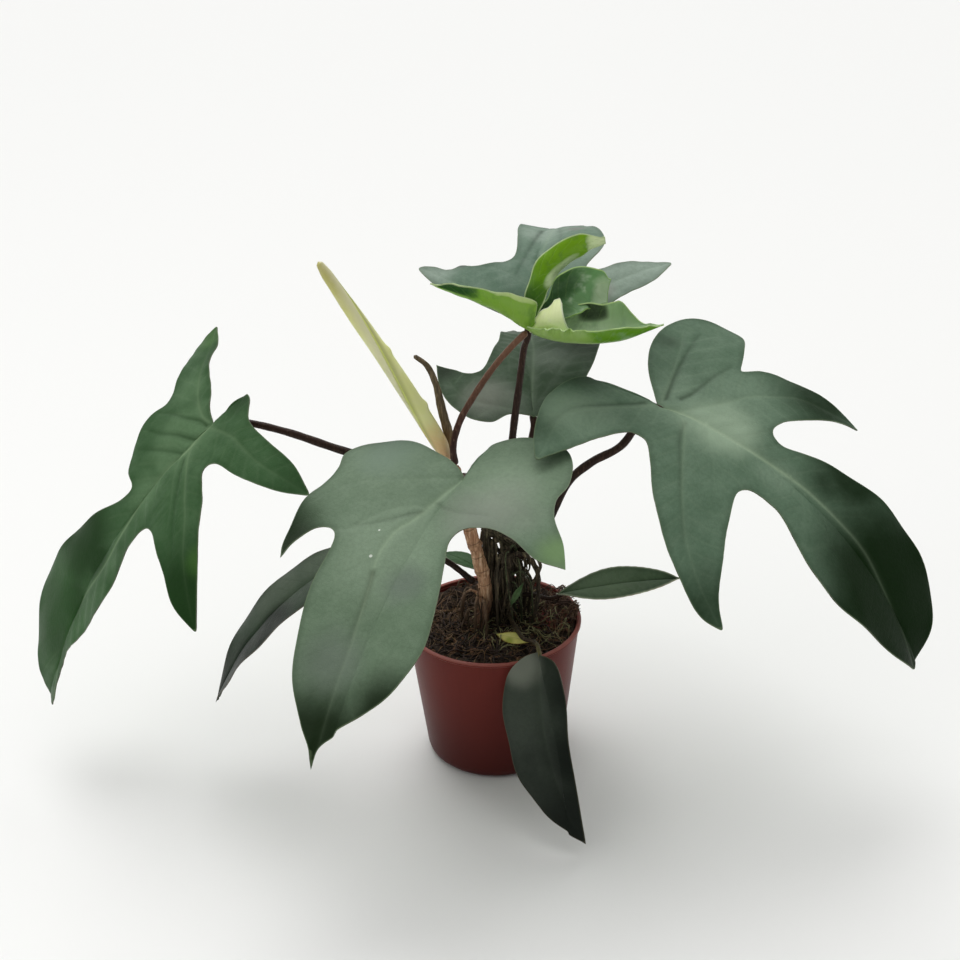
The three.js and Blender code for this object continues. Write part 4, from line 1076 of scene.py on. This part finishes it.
def buildSpear():
    track = flowing(spearLeaf['path'], 170 / spearLeaf['rings'])
    share = np.linspace(0, 1, len(track))
    radii = roundedEnds(track, easedStops(share, spearLeaf['girth'])[0])
    rings, layers = [], []
    for j in range(spearLeaf['sides']):
        turn = j / spearLeaf['sides']
        step = (spearLeaf['lap'] * (1 - np.exp(-turn * 9))
                * np.clip(share * 6, 0, 1) * np.clip((1 - share) * 5, 0, 1))
        seam = 2 * math.pi * (turn + spearLeaf['turns'] * share)
        bump = sum(size * np.exp(-((share - at) / 0.022) ** 2) for at, size in spearLeaf['lips'])
        bump = bump * np.exp(-((seam % (2 * math.pi) - math.pi) / 0.3) ** 2)
        rings.append((radii - 0.35 + step + bump, seam))
        layers.append(np.full(len(track), turn))
    grid = sweepRings(track, rings)
    piece = tubeMesh('spear_rolled', grid, {
        'turn': np.array(layers).T, 'share': np.repeat(share[:, None], spearLeaf['sides'], 1)})
    material, wire = startMaterial('rolled leaf')
    spot = objectPlace(wire)
    turn, share = fromMesh(wire, 'turn', 'share')
    cloud, grain = spot.noise(70, 4), spot.noise(900, 2)
    vein = (share * 34 + turn * 9).lines(0.25)
    foot, body, tip = spearLeaf['foot'], spearLeaf['body'], spearLeaf['tip']
    colour = coated(
        spearLeaf, (share + (cloud - 0.5) * 0.12).ramp((0.04, foot), (0.24, body), (0.62, body), (0.97, tip)),
        (cloud.rising(0.4, 0.7) * 0.3, 'edge'), (vein * 0.12, 'edge'),
        (turn.rising(0.72, 0.98) * 0.6, 'edge'),
        ((1 - turn.rising(0.04, 0.14)) * 0.5, 'shadow'), ((1 - turn.rising(0.015, 0.03)) * 0.8, 'seam'))
    closeMaterial(wire, colour, 0.42 + (grain - 0.5) * 0.15, vein * 0.3 + grain * 0.2, 0.0002, shine=0.3)
    return dress(piece, material, 35, 'rolled_leaf', 'spear')


buildSpear()
print('shoots and spear are built')


# the leaf that is still unrolling: curled lobes from one hub, hollow side is the leaf's upper face
youngHub = (26, -2, 307)
youngLook = {
    'upper': ((84, 118, 84), (40, 84, 42)), 'under': ((120, 162, 58), (84, 138, 26)), 'mottle': (60, 104, 48),
    'mottled': 0.4, 'edge': (196, 214, 160), 'edgeWidth': 1.1, 'vein': (150, 182, 100), 'soft': 0.07,
    'ragged': 0.14,
}
# profile: place along the lobe, radius, degrees curled on the first side and on the second
# zones: face, from and to along the lobe, from and to across it, colour, how strong
youngLobes = {
    'left': {
        'path': [(12, -5, 319), (-8, -8, 330), (-33, -12, 341)],
        'open': ((0.1, 0.55, 0.8), (0, 0.8, 0.6)),
        'profile': [(0, 6, 70, 60), (0.12, 11, 95, 70), (0.3, 11, 75, 70), (0.5, 10, 55, 60),
                    (0.8, 7, 45, 45), (1, 4, 5, 5)], 'look': {'under': ((136, 178, 66), (116, 170, 38))},
        # the dark zone at the far end is partly the leaf's own darker green and partly painted shade
        'zones': [('under', 0.6, 1.3, -1.0, 0.1, (24, 76, 16), 1),
                  ('under', 0.1, 0.34, 0.4, 1.1, (160, 186, 124), 0.8),
                  ('under', 0.14, 0.46, -1.2, -0.8, (206, 226, 152), 0.75)]},
    'rising': {
        'path': [(27, 0, 323), (36, 7, 342), (53, 14, 352), (75, 22, 355)],
        'open': ((0.35, 0.93, 0.1), (0.35, 0.93, 0.1)),
        'profile': [(0, 9, 30, 18), (0.3, 11, 48, 24), (0.55, 11, 55, 38), (0.8, 11, 40, 40),
                    (1, 8, 14, 18)], 'look': {'under': ((88, 136, 4), (118, 166, 6)), 'soft': 0.11},
        'zones': [('under', 0.36, 0.74, -1.3, -0.4, (204, 222, 176), 0.9),
                  ('under', 0.87, 1.1, -1.1, 1.1, (228, 242, 192), 0.9),
                  ('under', -0.3, 0.34, -1.4, 1.3, (44, 88, 14), 0.85)]},
    'inner': {
        'path': [(43, 3, 321), (60, 7, 329), (76, 9, 326)],
        'open': ((-0.25, -0.9, 0.3), (-0.25, -0.9, 0.3)),
        'profile': [(0, 16, 20, 20), (0.32, 17, 18, 40), (0.6, 17, 52, 55), (0.85, 15, 55, 50),
                    (1, 12, 40, 35)],
        'look': {'upper': ((70, 116, 60), (118, 164, 108)), 'mottle': (196, 214, 186), 'mottled': 0.7,
                 'edge': (140, 176, 108), 'edgeWidth': 0.7, 'soft': 0.12},
        # the pale zone at the end is a painted highlight on the curl, the dark zone on one side a painted
        # shadow
        'zones': [('upper', 0.84, 1.3, -0.9, 1.3, (206, 224, 190), 0.7),
                  ('upper', 0.0, 0.72, -1.4, 0.1, (34, 72, 24), 0.95),
                  ('upper', 0.3, 0.7, 0.2, 1.2, (90, 128, 74), 0.5)]},
    'pale': {
        'path': [(36, -6, 311), (42, -9, 313), (48, -11, 315)],
        'open': ((-0.1, 0.8, -0.1), (-0.1, 0.8, -0.1)),
        'profile': [(0, 5, 30, 30), (0.5, 9, 50, 66), (0.8, 12, 46, 76), (0.93, 12.6, 44, 72),
                    (1, 13, 30, 50)], 'wavy': 0.1,
        'look': {'under': ((236, 250, 176), (242, 252, 192)), 'mottle': (246, 252, 214),
                 'edge': (226, 234, 208), 'vein': (196, 212, 150)},
        # the darker zone along one side is painted shade
        'zones': [('under', -0.2, 0.8, -1.4, -0.1, (198, 216, 124), 0.7)]},
    'right': {
        'path': [(36, -6, 303), (57, -12, 301), (81, -18, 304), (107, -20, 314)],
        'open': ((0, 0.1, 1), (0, 0.1, 1)),
        'profile': [(0, 8, 60, 60), (0.2, 14, 115, 75), (0.4, 13, 135, 80), (0.6, 12, 150, 80),
                    (0.74, 12, 148, 80), (0.9, 6, 55, 70), (1, 3, 20, 20)], 'ruffle': (1.5, 0.1, 0.5),
        # the inner face's pale colours are painted light, standing in for light that shines through the young
        # leaf into the hollow
        'look': {'upper': ((206, 226, 192), (158, 188, 140)), 'under': ((104, 148, 40), (92, 146, 6)),
                 'mottle': (138, 166, 134), 'edge': (168, 194, 130), 'edgeWidth': 0.8, 'soft': 0.09,
                 'ragged': 0.03},
        # the dark zone is a painted shadow in the hollow under the curled wall
        'zones': [('upper', 0.34, 0.6, -1.12, -0.58, (36, 50, 32), 0.95),
                  ('under', 0.0, 0.5, -0.1, 1.1, (158, 190, 104), 0.7)]},
}


def youngFinish(name, look, zones, side):
    material, wire = startMaterial(name)
    flat = flatPlace(wire)
    along, across, edge = fromMesh(wire, 'along', 'across', 'edge')
    cloud, grain = flat.noise(0.09, 3), flat.noise(0.5, 3)
    first, last = look[side]
    colour = (along + (cloud - 0.5) * 0.5).rising(0.1, 0.9).mixed(first, last)
    colour = (cloud.rising(0.5, 0.66) * look['mottled']).mixed(colour, look['mottle'])
    ragged, soft = (cloud - 0.5) * look['ragged'], look['soft']
    # zones paint patches of given colour: some dark ones are painted shadow and painted shade, some pale ones
    # painted highlight, the rest the leaf's own colour
    for face, start, end, low, high, tint, strength in zones:
        if face == side:
            out = (along + ragged - (start + end) / 2) / ((end - start) / 2)
            aside = (across + ragged - (low + high) / 2) / ((high - low) / 2)
            reach = (1 - out * out * out * out - aside * aside * aside * aside).rising(-10 * soft, 10 * soft)
            colour = (reach * strength).mixed(colour, tint)
    veins = (along * 9 - across.maths('ABSOLUTE', across) * 1.6 + cloud * 0.8).lines(0.35)
    rim = 1 - edge.rising(0.3, look['edgeWidth'])
    colour = coated(look, colour, (veins * 0.1, 'vein'), (rim * 0.85, 'edge'))
    colour = (grain.rising(0.4, 0.7) * 0.08).mixed(colour, last)
    height = veins * -0.3 + grain * 0.2 + cloud * 0.8
    closeMaterial(wire, colour, 0.4 + (cloud - 0.5) * 0.15, height, 0.0004, shine=0.3)
    return material


def buildLobe(name, lobe):
    rows, columns = 84, 52
    long = flowing([youngHub, *lobe['path']], 0.1)
    length = 0.1 * (len(long) - 1)
    track = long[np.linspace(0, len(long) - 1, rows + 1).round().astype(int)]
    heading = headings(track)
    t = np.linspace(0, 1, rows + 1)
    opening = np.outer(1 - t, lobe['open'][0]) + np.outer(t, lobe['open'][1])
    inward = opening - heading * np.sum(heading * opening, axis=1)[:, None]
    inward /= np.linalg.norm(inward, axis=1)[:, None]
    sideways = np.cross(heading, inward)
    radius, first, second = easedStops(t, lobe['profile'])
    c = np.linspace(-1, 1, columns + 1)
    bend = np.radians(np.where(c < 0, first[:, None], second[:, None]) * c)
    across = radius[:, None] * bend
    lift = (0.35 * np.cos(across / 3.2 + t[:, None] * 30) * np.abs(c)
            + 0.5 * np.sin(t * 23)[:, None] * np.abs(c) ** 3)
    lift *= lobe.get('wavy', 1)
    tall, start, end = lobe.get('ruffle', (0, 0, 1))
    window = np.clip((t - start) * 12, 0, 1) * np.clip((end - t) * 12, 0, 1)
    lift += tall * ((np.sin(t * 61) + 0.8 * np.sin(t * 97 + 1)) * window)[:, None] * np.clip(c, 0, 1) ** 5
    spread = radius[:, None] - lift
    grid = (track[:, None] + sideways[:, None] * (spread * np.sin(bend))[..., None]
            + inward[:, None] * (radius[:, None] - spread * np.cos(bend))[..., None])
    wide = columns + 1
    faces = [(a, a + 1, a + wide + 1, a + wide)
             for r in range(rows) for a in range(r * wide, r * wide + columns)]
    limits = np.abs(across[:, [0, -1]])
    edge = np.minimum(np.where(c < 0, limits[:, :1], limits[:, 1:]) - np.abs(across),
                      (1 - t)[:, None] * length)
    piece = meshPiece('lobe_' + name, grid.reshape(-1, 3), faces, {
        'edge': edge.ravel(), 'along': np.repeat(t, wide), 'across': np.tile(c, rows + 1),
        'flat': np.column_stack([across.ravel(), np.repeat(t * length, wide), np.zeros(edge.size)])})
    look = {**youngLook, **lobe['look']}
    for part in ('upper', 'under'):
        piece.data.materials.append(youngFinish(f'young {name} {part}', look, lobe['zones'], part))
    rim = {'margin': look['edge'], 'marginDark': look['vein']}
    piece.data.materials.append(rimFinish(f'young {name} rim', rim))
    thicken(piece, 0.8, 0)
    return piece


lobes = [buildLobe(name, lobe) for name, lobe in youngLobes.items()]
pick(*lobes)
bpy.ops.object.join()
young = bpy.context.object
young.name = 'blade_young'
place(young, 'young_leaf', 'young_leaf_blade')
print('young leaf is built')


# pot: its profile is drawn point by point and spun round
potShape = {
    'profile': [
        (0, 0), (38, 0), (41, 0), (44.5, 0.94), (47.06, 3.5), (48, 7), (48.4, 11), (58.75, 97.3),
        (59.4, 97.6), (60, 98.2), (60, 99.3), (59.8, 99.8), (59.3, 100), (57.8, 100), (57.3, 99.8),
        (57.1, 99.2), (46.5, 9.5), (45, 6), (41, 2.4), (38, 2.2), (0, 2.2),
    ],
    'steps': 160, 'holes': 6, 'holeRadius': 4, 'holeCircle': 30,
    'colour': (104, 40, 33), 'dark': (78, 29, 25), 'pale': (176, 108, 98), 'mud': (58, 44, 36),
}


def buildPot():
    bpy.ops.mesh.primitive_plane_add(size=mm)
    pot = bpy.context.object
    pot.name = 'pot_body'
    bpy.ops.object.mode_set(mode='EDIT')
    bpy.ops.mesh.select_all(action='SELECT')
    bpy.ops.mesh.merge(type='CENTER')
    last = (0, 0)
    for r, z in potShape['profile'][1:]:
        bpy.ops.mesh.extrude_region_move(
            TRANSFORM_OT_translate={'value': ((r - last[0]) * mm, 0, (z - last[1]) * mm)})
        last = (r, z)
    bpy.ops.mesh.select_all(action='SELECT')
    bpy.ops.mesh.spin(steps=potShape['steps'], angle=2 * math.pi, center=(0, 0, 0), axis=(0, 0, 1))
    bpy.ops.mesh.select_all(action='SELECT')
    bpy.ops.mesh.remove_doubles(threshold=0.02 * mm)
    bpy.ops.mesh.normals_make_consistent(inside=False)
    bpy.ops.object.mode_set(mode='OBJECT')
    for number in range(potShape['holes']):
        angle, far = 2 * math.pi * number / potShape['holes'], potShape['holeCircle'] * mm
        bpy.ops.mesh.primitive_cylinder_add(vertices=32, radius=potShape['holeRadius'] * mm, depth=12 * mm,
                                            location=(far * math.cos(angle), far * math.sin(angle), 0))
        drill = bpy.context.object
        cut = pot.modifiers.new('drain hole', 'BOOLEAN')
        cut.operation, cut.solver, cut.object = 'DIFFERENCE', 'EXACT', drill
        applyAll(pot)
        bpy.data.objects.remove(drill)
    material, wire = startMaterial('pot plastic')
    spot = objectPlace(wire)
    height = spot.part(2)
    cloud, grain = spot.noise(28, 4), spot.noise(1400, 2)
    runs = spot.scaled(1, 1, 0.06).noise(240, 4)
    scratch = spot.scaled(1, 1, 5).noise(260, 5, 0.7, 1.0)
    dust = spot.noise(420, 4, 0.7)

    def above(low, high):
        return height.rising(low * mm, high * mm)

    # painted highlight: pale bands along the rim's top and round its lip, where the rim catches the light
    lip = above(98.6, 99.4) + above(96.9, 97.4) * (1 - above(97.6, 98))
    low = (1 - above(0, 20)) * dust.rising(0.52, 0.74)
    high = above(88, 99) * dust.rising(0.6, 0.74)
    colour = coated(
        potShape, potShape['colour'], (above(80, 5), 'dark'),
        (cloud.rising(0.35, 0.7) * 0.2 + runs.rising(0.5, 0.75) * 0.15, 'dark'),
        (scratch.rising(0.68, 0.76) * 0.12, 'pale'), (lip * 0.45, 'pale'), (low * 0.4 + high * 0.35, 'mud'))
    rough = 0.4 + (cloud - 0.5) * 0.1 + low * 0.3 + high * 0.3 + scratch.rising(0.66, 0.74) * 0.15
    closeMaterial(wire, colour, rough, grain * 0.25 + scratch * 0.4 + runs * 0.3, 0.0001, 0.12)
    return dress(pot, material, 38, 'pot_plastic', 'pot')


buildPot()
print('pot is built')


# potting mix: crumbly body, loose crumbs, bark chips and strands on top of it
mixShape = {
    'edge': 55.6, 'below': [(0.6, 2.5), (20, 2.5), (40.6, 2.5), (46.1, 8.9), (50, 42), (55.3, 85)],
    'sides': 220, 'reach': 54, 'heap': 5.5, 'dip': 2.2, 'lip': (48, 8, 93), 'redSpot': (0.043, 0.003, 0.094),
    'dark': (20, 15, 12), 'brown': (52, 37, 27), 'light': (94, 72, 52), 'red': (104, 44, 38),
}


def mixHeight(x, y):
    base = float(soilHeight(x, y)) - 0.4
    lumps = noise.fractal((x / 7, y / 7, 3.1), 0.9, 2.2, 4) * 1.5
    r = math.hypot(x, y) / mixShape['edge']
    back = min(max((y - 8) / 40, (x + 0.4 * y - 24) / 28, 0), 1)  # heaped at the far and right walls
    sunk = mixShape['dip'] * (1 - back) * max(0, (r - 0.9) / 0.1) ** 2  # lower along the wall
    return base + lumps + mixShape['heap'] * back**1.5 - sunk


def buildMix():
    edge = mixShape['edge']
    radii = [*np.arange(edge, 0.6, -0.85), 0.6]
    turn = np.linspace(0, 2 * math.pi, mixShape['sides'], endpoint=False)
    grid = [[(r * math.cos(a), r * math.sin(a), z) for a in turn] for r, z in mixShape['below']]
    grid += [[(r * math.cos(a), r * math.sin(a), mixHeight(r * math.cos(a), r * math.sin(a))) for a in turn]
             for r in radii]
    piece = tubeMesh('potting_mix', np.array(grid), {})
    material, wire = startMaterial('potting mix')
    spot = objectPlace(wire)
    lump, crumb, fibre = spot.noise(150, 5, 0.65), spot.noise(900, 4, 0.7), spot.noise(420, 4, 0.6, 2.5)
    tones = [(place, mixShape[tone]) for place, tone in ((0.3, 'dark'), (0.52, 'brown'), (0.72, 'light'))]
    patch = 1 - spot.away(mixShape['redSpot']).rising(0.007, 0.018)
    colour = coated(
        mixShape, (lump * 0.5 + crumb * 0.5).ramp(*tones), (fibre.rising(0.56, 0.62) * 0.5, 'light'),
        (patch * lump.rising(0.4, 0.6) * 0.7, 'red'))
    closeMaterial(wire, colour, 0.95, crumb * 0.7 + lump * 0.6 + fibre * 0.4, 0.0012)
    return dress(piece, material, 0, 'potting_mix', 'root_ball')


buildMix()


def looseFinish(name, look, cloud, grain, dusty, rough, depth):
    material, wire = startMaterial(name)
    spot = objectPlace(wire)
    fine = spot.noise(*grain)
    colour = spot.noise(*cloud).rising(0.35, 0.65).mixed(look['tone'][0], look['tone'][1])
    colour = (fine.rising(0.4, 0.7) * 0.5 + spot.cells(260, 'F1') * dusty).mixed(colour, look['tone'][2])
    closeMaterial(wire, colour, rough, fine, depth)
    return material


lumpKinds = {
    'mix_crumbs': {
        'count': 1500, 'sizes': (0.5, 1.5), 'flatness': 0.8, 'seed': 11,
        'tone': ((36, 25, 19), (64, 45, 33), (20, 15, 12))},
    'bark_chips': {
        'count': 90, 'sizes': (1.4, 3.2), 'flatness': 0.35, 'seed': 12,
        'tone': ((96, 62, 42), (124, 86, 58), (58, 38, 28))},
}


def scatterLumps(name, kind):  # one small lump, repeated with its own turn and shape
    chance, flatness = random.Random(kind['seed']), kind['flatness']
    bpy.ops.mesh.primitive_ico_sphere_add(subdivisions=1, radius=1)
    seedLump = bpy.context.object
    shape = np.array([v.co for v in seedLump.data.vertices])
    sides = np.array([tuple(p.vertices) for p in seedLump.data.polygons])
    bpy.data.objects.remove(seedLump)
    points, faces = [], []
    for _ in range(kind['count']):
        r, a = mixShape['reach'] * math.sqrt(chance.random()), chance.uniform(0, 2 * math.pi)
        x, y = r * math.cos(a), r * math.sin(a)
        size = chance.uniform(*kind['sizes'])
        stretch = np.array([chance.uniform(0.6, 1.7), chance.uniform(0.6, 1.2),
                            flatness * chance.uniform(0.6, 1.3)])
        jitter = np.array([[chance.uniform(0.7, 1.25)] for _ in shape])
        lump = shape * jitter * stretch * size
        yaw, lean = chance.uniform(0, 2 * math.pi), chance.uniform(-0.6, 0.6)
        lump = lump @ np.array([[1, 0, 0], [0, math.cos(lean), math.sin(lean)],
                                [0, -math.sin(lean), math.cos(lean)]])
        lump = lump @ np.array([[math.cos(yaw), math.sin(yaw), 0], [-math.sin(yaw), math.cos(yaw), 0],
                                [0, 0, 1]])
        faces += [tuple(f) for f in sides + len(points) * len(shape)]
        points.append(lump + (x, y, mixHeight(x, y) + size * flatness * 0.35))
    piece = meshPiece(name, np.vstack(points), faces, {})
    return dress(piece, looseFinish(name, kind, (160, 2), (1500, 3), 0.1, 0.92, 0.0003), 50, 'potting_mix')


for name, kind in lumpKinds.items():
    scatterLumps(name, kind)

strandKinds = {
    'strands_brown': {
        'count': 330, 'thick': (0.22, 0.5), 'long': (8, 26), 'hump': (0.3, 3.5), 'middle': (5, 10),
        'spread': 52, 'tone': ((92, 66, 46), (130, 100, 68), (54, 38, 28)), 'seed': 31},
    'strands_dark': {
        'count': 170, 'thick': (0.3, 0.7), 'long': (10, 30), 'hump': (0.4, 5), 'middle': (2, 0),
        'spread': 44, 'tone': ((40, 28, 22), (66, 46, 34), (22, 17, 14)), 'seed': 32},
    'strands_moss': {
        'count': 150, 'thick': (0.22, 0.45), 'long': (8, 22), 'hump': (0.6, 6), 'middle': (18, 2),
        'spread': 30, 'tone': ((126, 120, 84), (164, 156, 118), (80, 78, 50)), 'seed': 33},
    'strands_back': {
        'count': 120, 'thick': (0.25, 0.6), 'long': (9, 24), 'hump': (2, 7), 'middle': (2, 36),
        'spread': 22, 'tone': ((66, 50, 38), (112, 90, 66), (34, 25, 20)), 'seed': 35},
    'strands_left': {
        'count': 110, 'thick': (0.22, 0.5), 'long': (10, 28), 'hump': (1, 5), 'middle': (-34, 6),
        'spread': 22, 'tone': ((80, 62, 46), (122, 98, 72), (40, 29, 22)), 'seed': 36},
    'strands_red': {
        'count': 60, 'thick': (0.22, 0.4), 'long': (6, 14), 'hump': (0.3, 3), 'middle': (42, 2),
        'spread': 11, 'tone': ((112, 44, 36), (140, 70, 54), (70, 28, 24)), 'seed': 34},
    'strands_rim': {
        'count': 210, 'thick': (0.25, 0.6), 'long': (7, 20), 'hump': (1, 4), 'middle': (50, 12),
        'spread': 19, 'tone': ((78, 54, 42), (118, 90, 68), (40, 26, 21)), 'seed': 37, 'limit': 60,
        'spill': 7},
}


def buildStrands(name, kind):
    chance, reach = random.Random(kind['seed']), mixShape['reach']
    lipStart, lipWidth, lipTop = mixShape['lip']
    runs = []
    for _ in range(kind['count']):
        r, a = kind['spread'] * math.sqrt(chance.random()), chance.uniform(0, 2 * math.pi)
        x, y = kind['middle'][0] + r * math.cos(a), kind['middle'][1] + r * math.sin(a)
        heading, curl = chance.uniform(0, 2 * math.pi), chance.uniform(-0.5, 0.5)
        long, hump, steps = chance.uniform(*kind['long']), chance.uniform(*kind['hump']), 7
        track = []
        for k in range(steps + 1):
            out = math.hypot(x, y)
            if out > kind.get('limit', reach):
                break
            spill = kind.get('spill', 0) * min(max((out - lipStart) / lipWidth, 0), 1)  # climbs over the lip
            ground = mixHeight(x, y) if out < reach else mixHeight(x * reach / out, y * reach / out)
            ground = ground if out < reach else max(ground, lipTop)
            track.append((x, y, max(ground + 0.2, ground + spill) + hump * math.sin(math.pi * k / steps)))
            x, y = x + long / steps * math.cos(heading), y + long / steps * math.sin(heading)
            heading += curl + chance.uniform(-0.25, 0.25)
        if len(track) < 4:
            continue
        track = np.array(track)
        thick = chance.uniform(*kind['thick'])
        runs.append((track, np.array([0.5, *[1] * (len(track) - 2), 0.4]) * thick))
    piece = stalkCurve(name, runs, 0)
    return dress(piece, looseFinish(name, kind, (120, 3), (1600, 2), 0, 0.85, 0.0002), 0, 'potting_mix')


for name, kind in strandKinds.items():
    buildStrands(name, kind)
print('potting mix is built')


def thinRoot(points, thick, fall, pace):  # thinner and thinner, and a little uneven
    track = flowing(points, 1.5)
    uneven = 1 + 0.15 * np.sin(np.arange(len(track)) * pace)
    return track, thick * (1 - fall * np.linspace(0, 1, len(track))) * uneven


# thin roots in a tangle round the foot of the shoots
palerBark = {**darkBark, 'mid': (84, 74, 58), 'light': (140, 128, 102)}
tangle = {
    'dark': {
        'count': 26, 'around': (9, 5), 'seed': 5, 'height': (100, 150), 'reach': (4, 17),
        'thick': (0.5, 1.1), 'look': darkBark},
    'beside': {
        'count': 18, 'around': (1.5, 7), 'seed': 12, 'height': (140, 168), 'reach': (1, 7),
        'thick': (0.6, 1.4), 'look': palerBark},
    'close': {
        'count': 9, 'around': (-3.5, 6), 'seed': 15, 'height': (148, 170), 'reach': (0.5, 4.5),
        'thick': (0.7, 1.4), 'look': palerBark},
    'brown': {
        'count': 7, 'around': (-7, -1), 'seed': 6, 'height': (98, 126), 'reach': (4, 13),
        'thick': (0.4, 0.8), 'look': {**brownBark, 'mid': (104, 80, 58), 'light': (150, 124, 96)},
        'slot': 'stem_bark'},
    'green': {
        'count': 9, 'around': (12, 2), 'seed': 8, 'height': (112, 152), 'reach': (5, 15),
        'thick': (0.4, 0.8), 'look': {**darkBark, 'mid': (74, 82, 56), 'light': (120, 128, 92)}},
}


def buildTangle(name, kind):
    chance = random.Random(kind['seed'])
    runs = []
    for _ in range(kind['count']):
        x, y = kind['around']
        angle, reach = chance.uniform(0, 2 * math.pi), chance.uniform(*kind['reach'])
        top, swing = chance.uniform(*kind['height']), chance.uniform(-0.9, 0.9)
        points = []
        for out, drop in ((0.1, 0), (0.55, -0.02), (0.95, 0.22), (1.05, 0.55), (1.0, 1.0)):
            turn = angle + swing * drop
            px, py = x + reach * out * math.cos(turn), y + reach * out * math.sin(turn)
            foot = mixHeight(px, py) - 1
            lift = chance.uniform(0, 3) if 0 < drop < 1 else 0
            points.append((px, py, top + (foot - top) * drop + lift))
        runs.append(thinRoot(points, chance.uniform(*kind['thick']), 0.3, 1.3))
    bark = barkFinish(f'{name} roots', {**kind['look'], 'ringGap': 5})
    return dress(markedStalk('roots_' + name, runs, 2), bark, 0, kind.get('slot', 'dark_stem_bark'))


hanging = {
    'count': 26, 'first': (-5, 8, 166), 'last': (13, 10, 152), 'bends': [(10, 2, -9), (17, 3, -25)],
    'foot': (15, 18), 'scatter': 10, 'jitter': 2.6, 'thick': (0.5, 1.5), 'seed': 9,
    'look': {**darkBark, 'mid': (84, 76, 58), 'light': (142, 130, 102), 'ringGap': 6},
}


def buildHanging():  # dark roots that lean away from the stem before they fall
    chance = random.Random(hanging['seed'])

    def jitter(reach):
        return np.array([chance.uniform(-reach, reach) for _ in range(3)])

    first, last = (np.array(hanging[end], float) for end in ('first', 'last'))
    runs = []
    for _ in range(hanging['count']):
        start = first + (last - first) * chance.random() + jitter(hanging['jitter'])
        points = [start]
        for bend in hanging['bends']:
            points.append(start + np.array(bend) * chance.uniform(0.6, 1.1) + jitter(hanging['jitter']))
        x, y = np.array(hanging['foot']) + jitter(hanging['scatter'])[:2]
        points += [(x + 2, y, 112 + chance.uniform(-4, 6)), (x, y, mixHeight(x, y) - 1)]
        track, radii = thinRoot(points, chance.uniform(*hanging['thick']), 0.35, 1.1)
        runs.append((track, roundedEnds(track, radii)))
    bark = barkFinish('hanging roots', hanging['look'])
    return dress(markedStalk('roots_hanging', runs, 2), bark, 0, 'dark_stem_bark')


for name, kind in tangle.items():
    buildTangle(name, kind)
buildHanging()
print('roots are built')
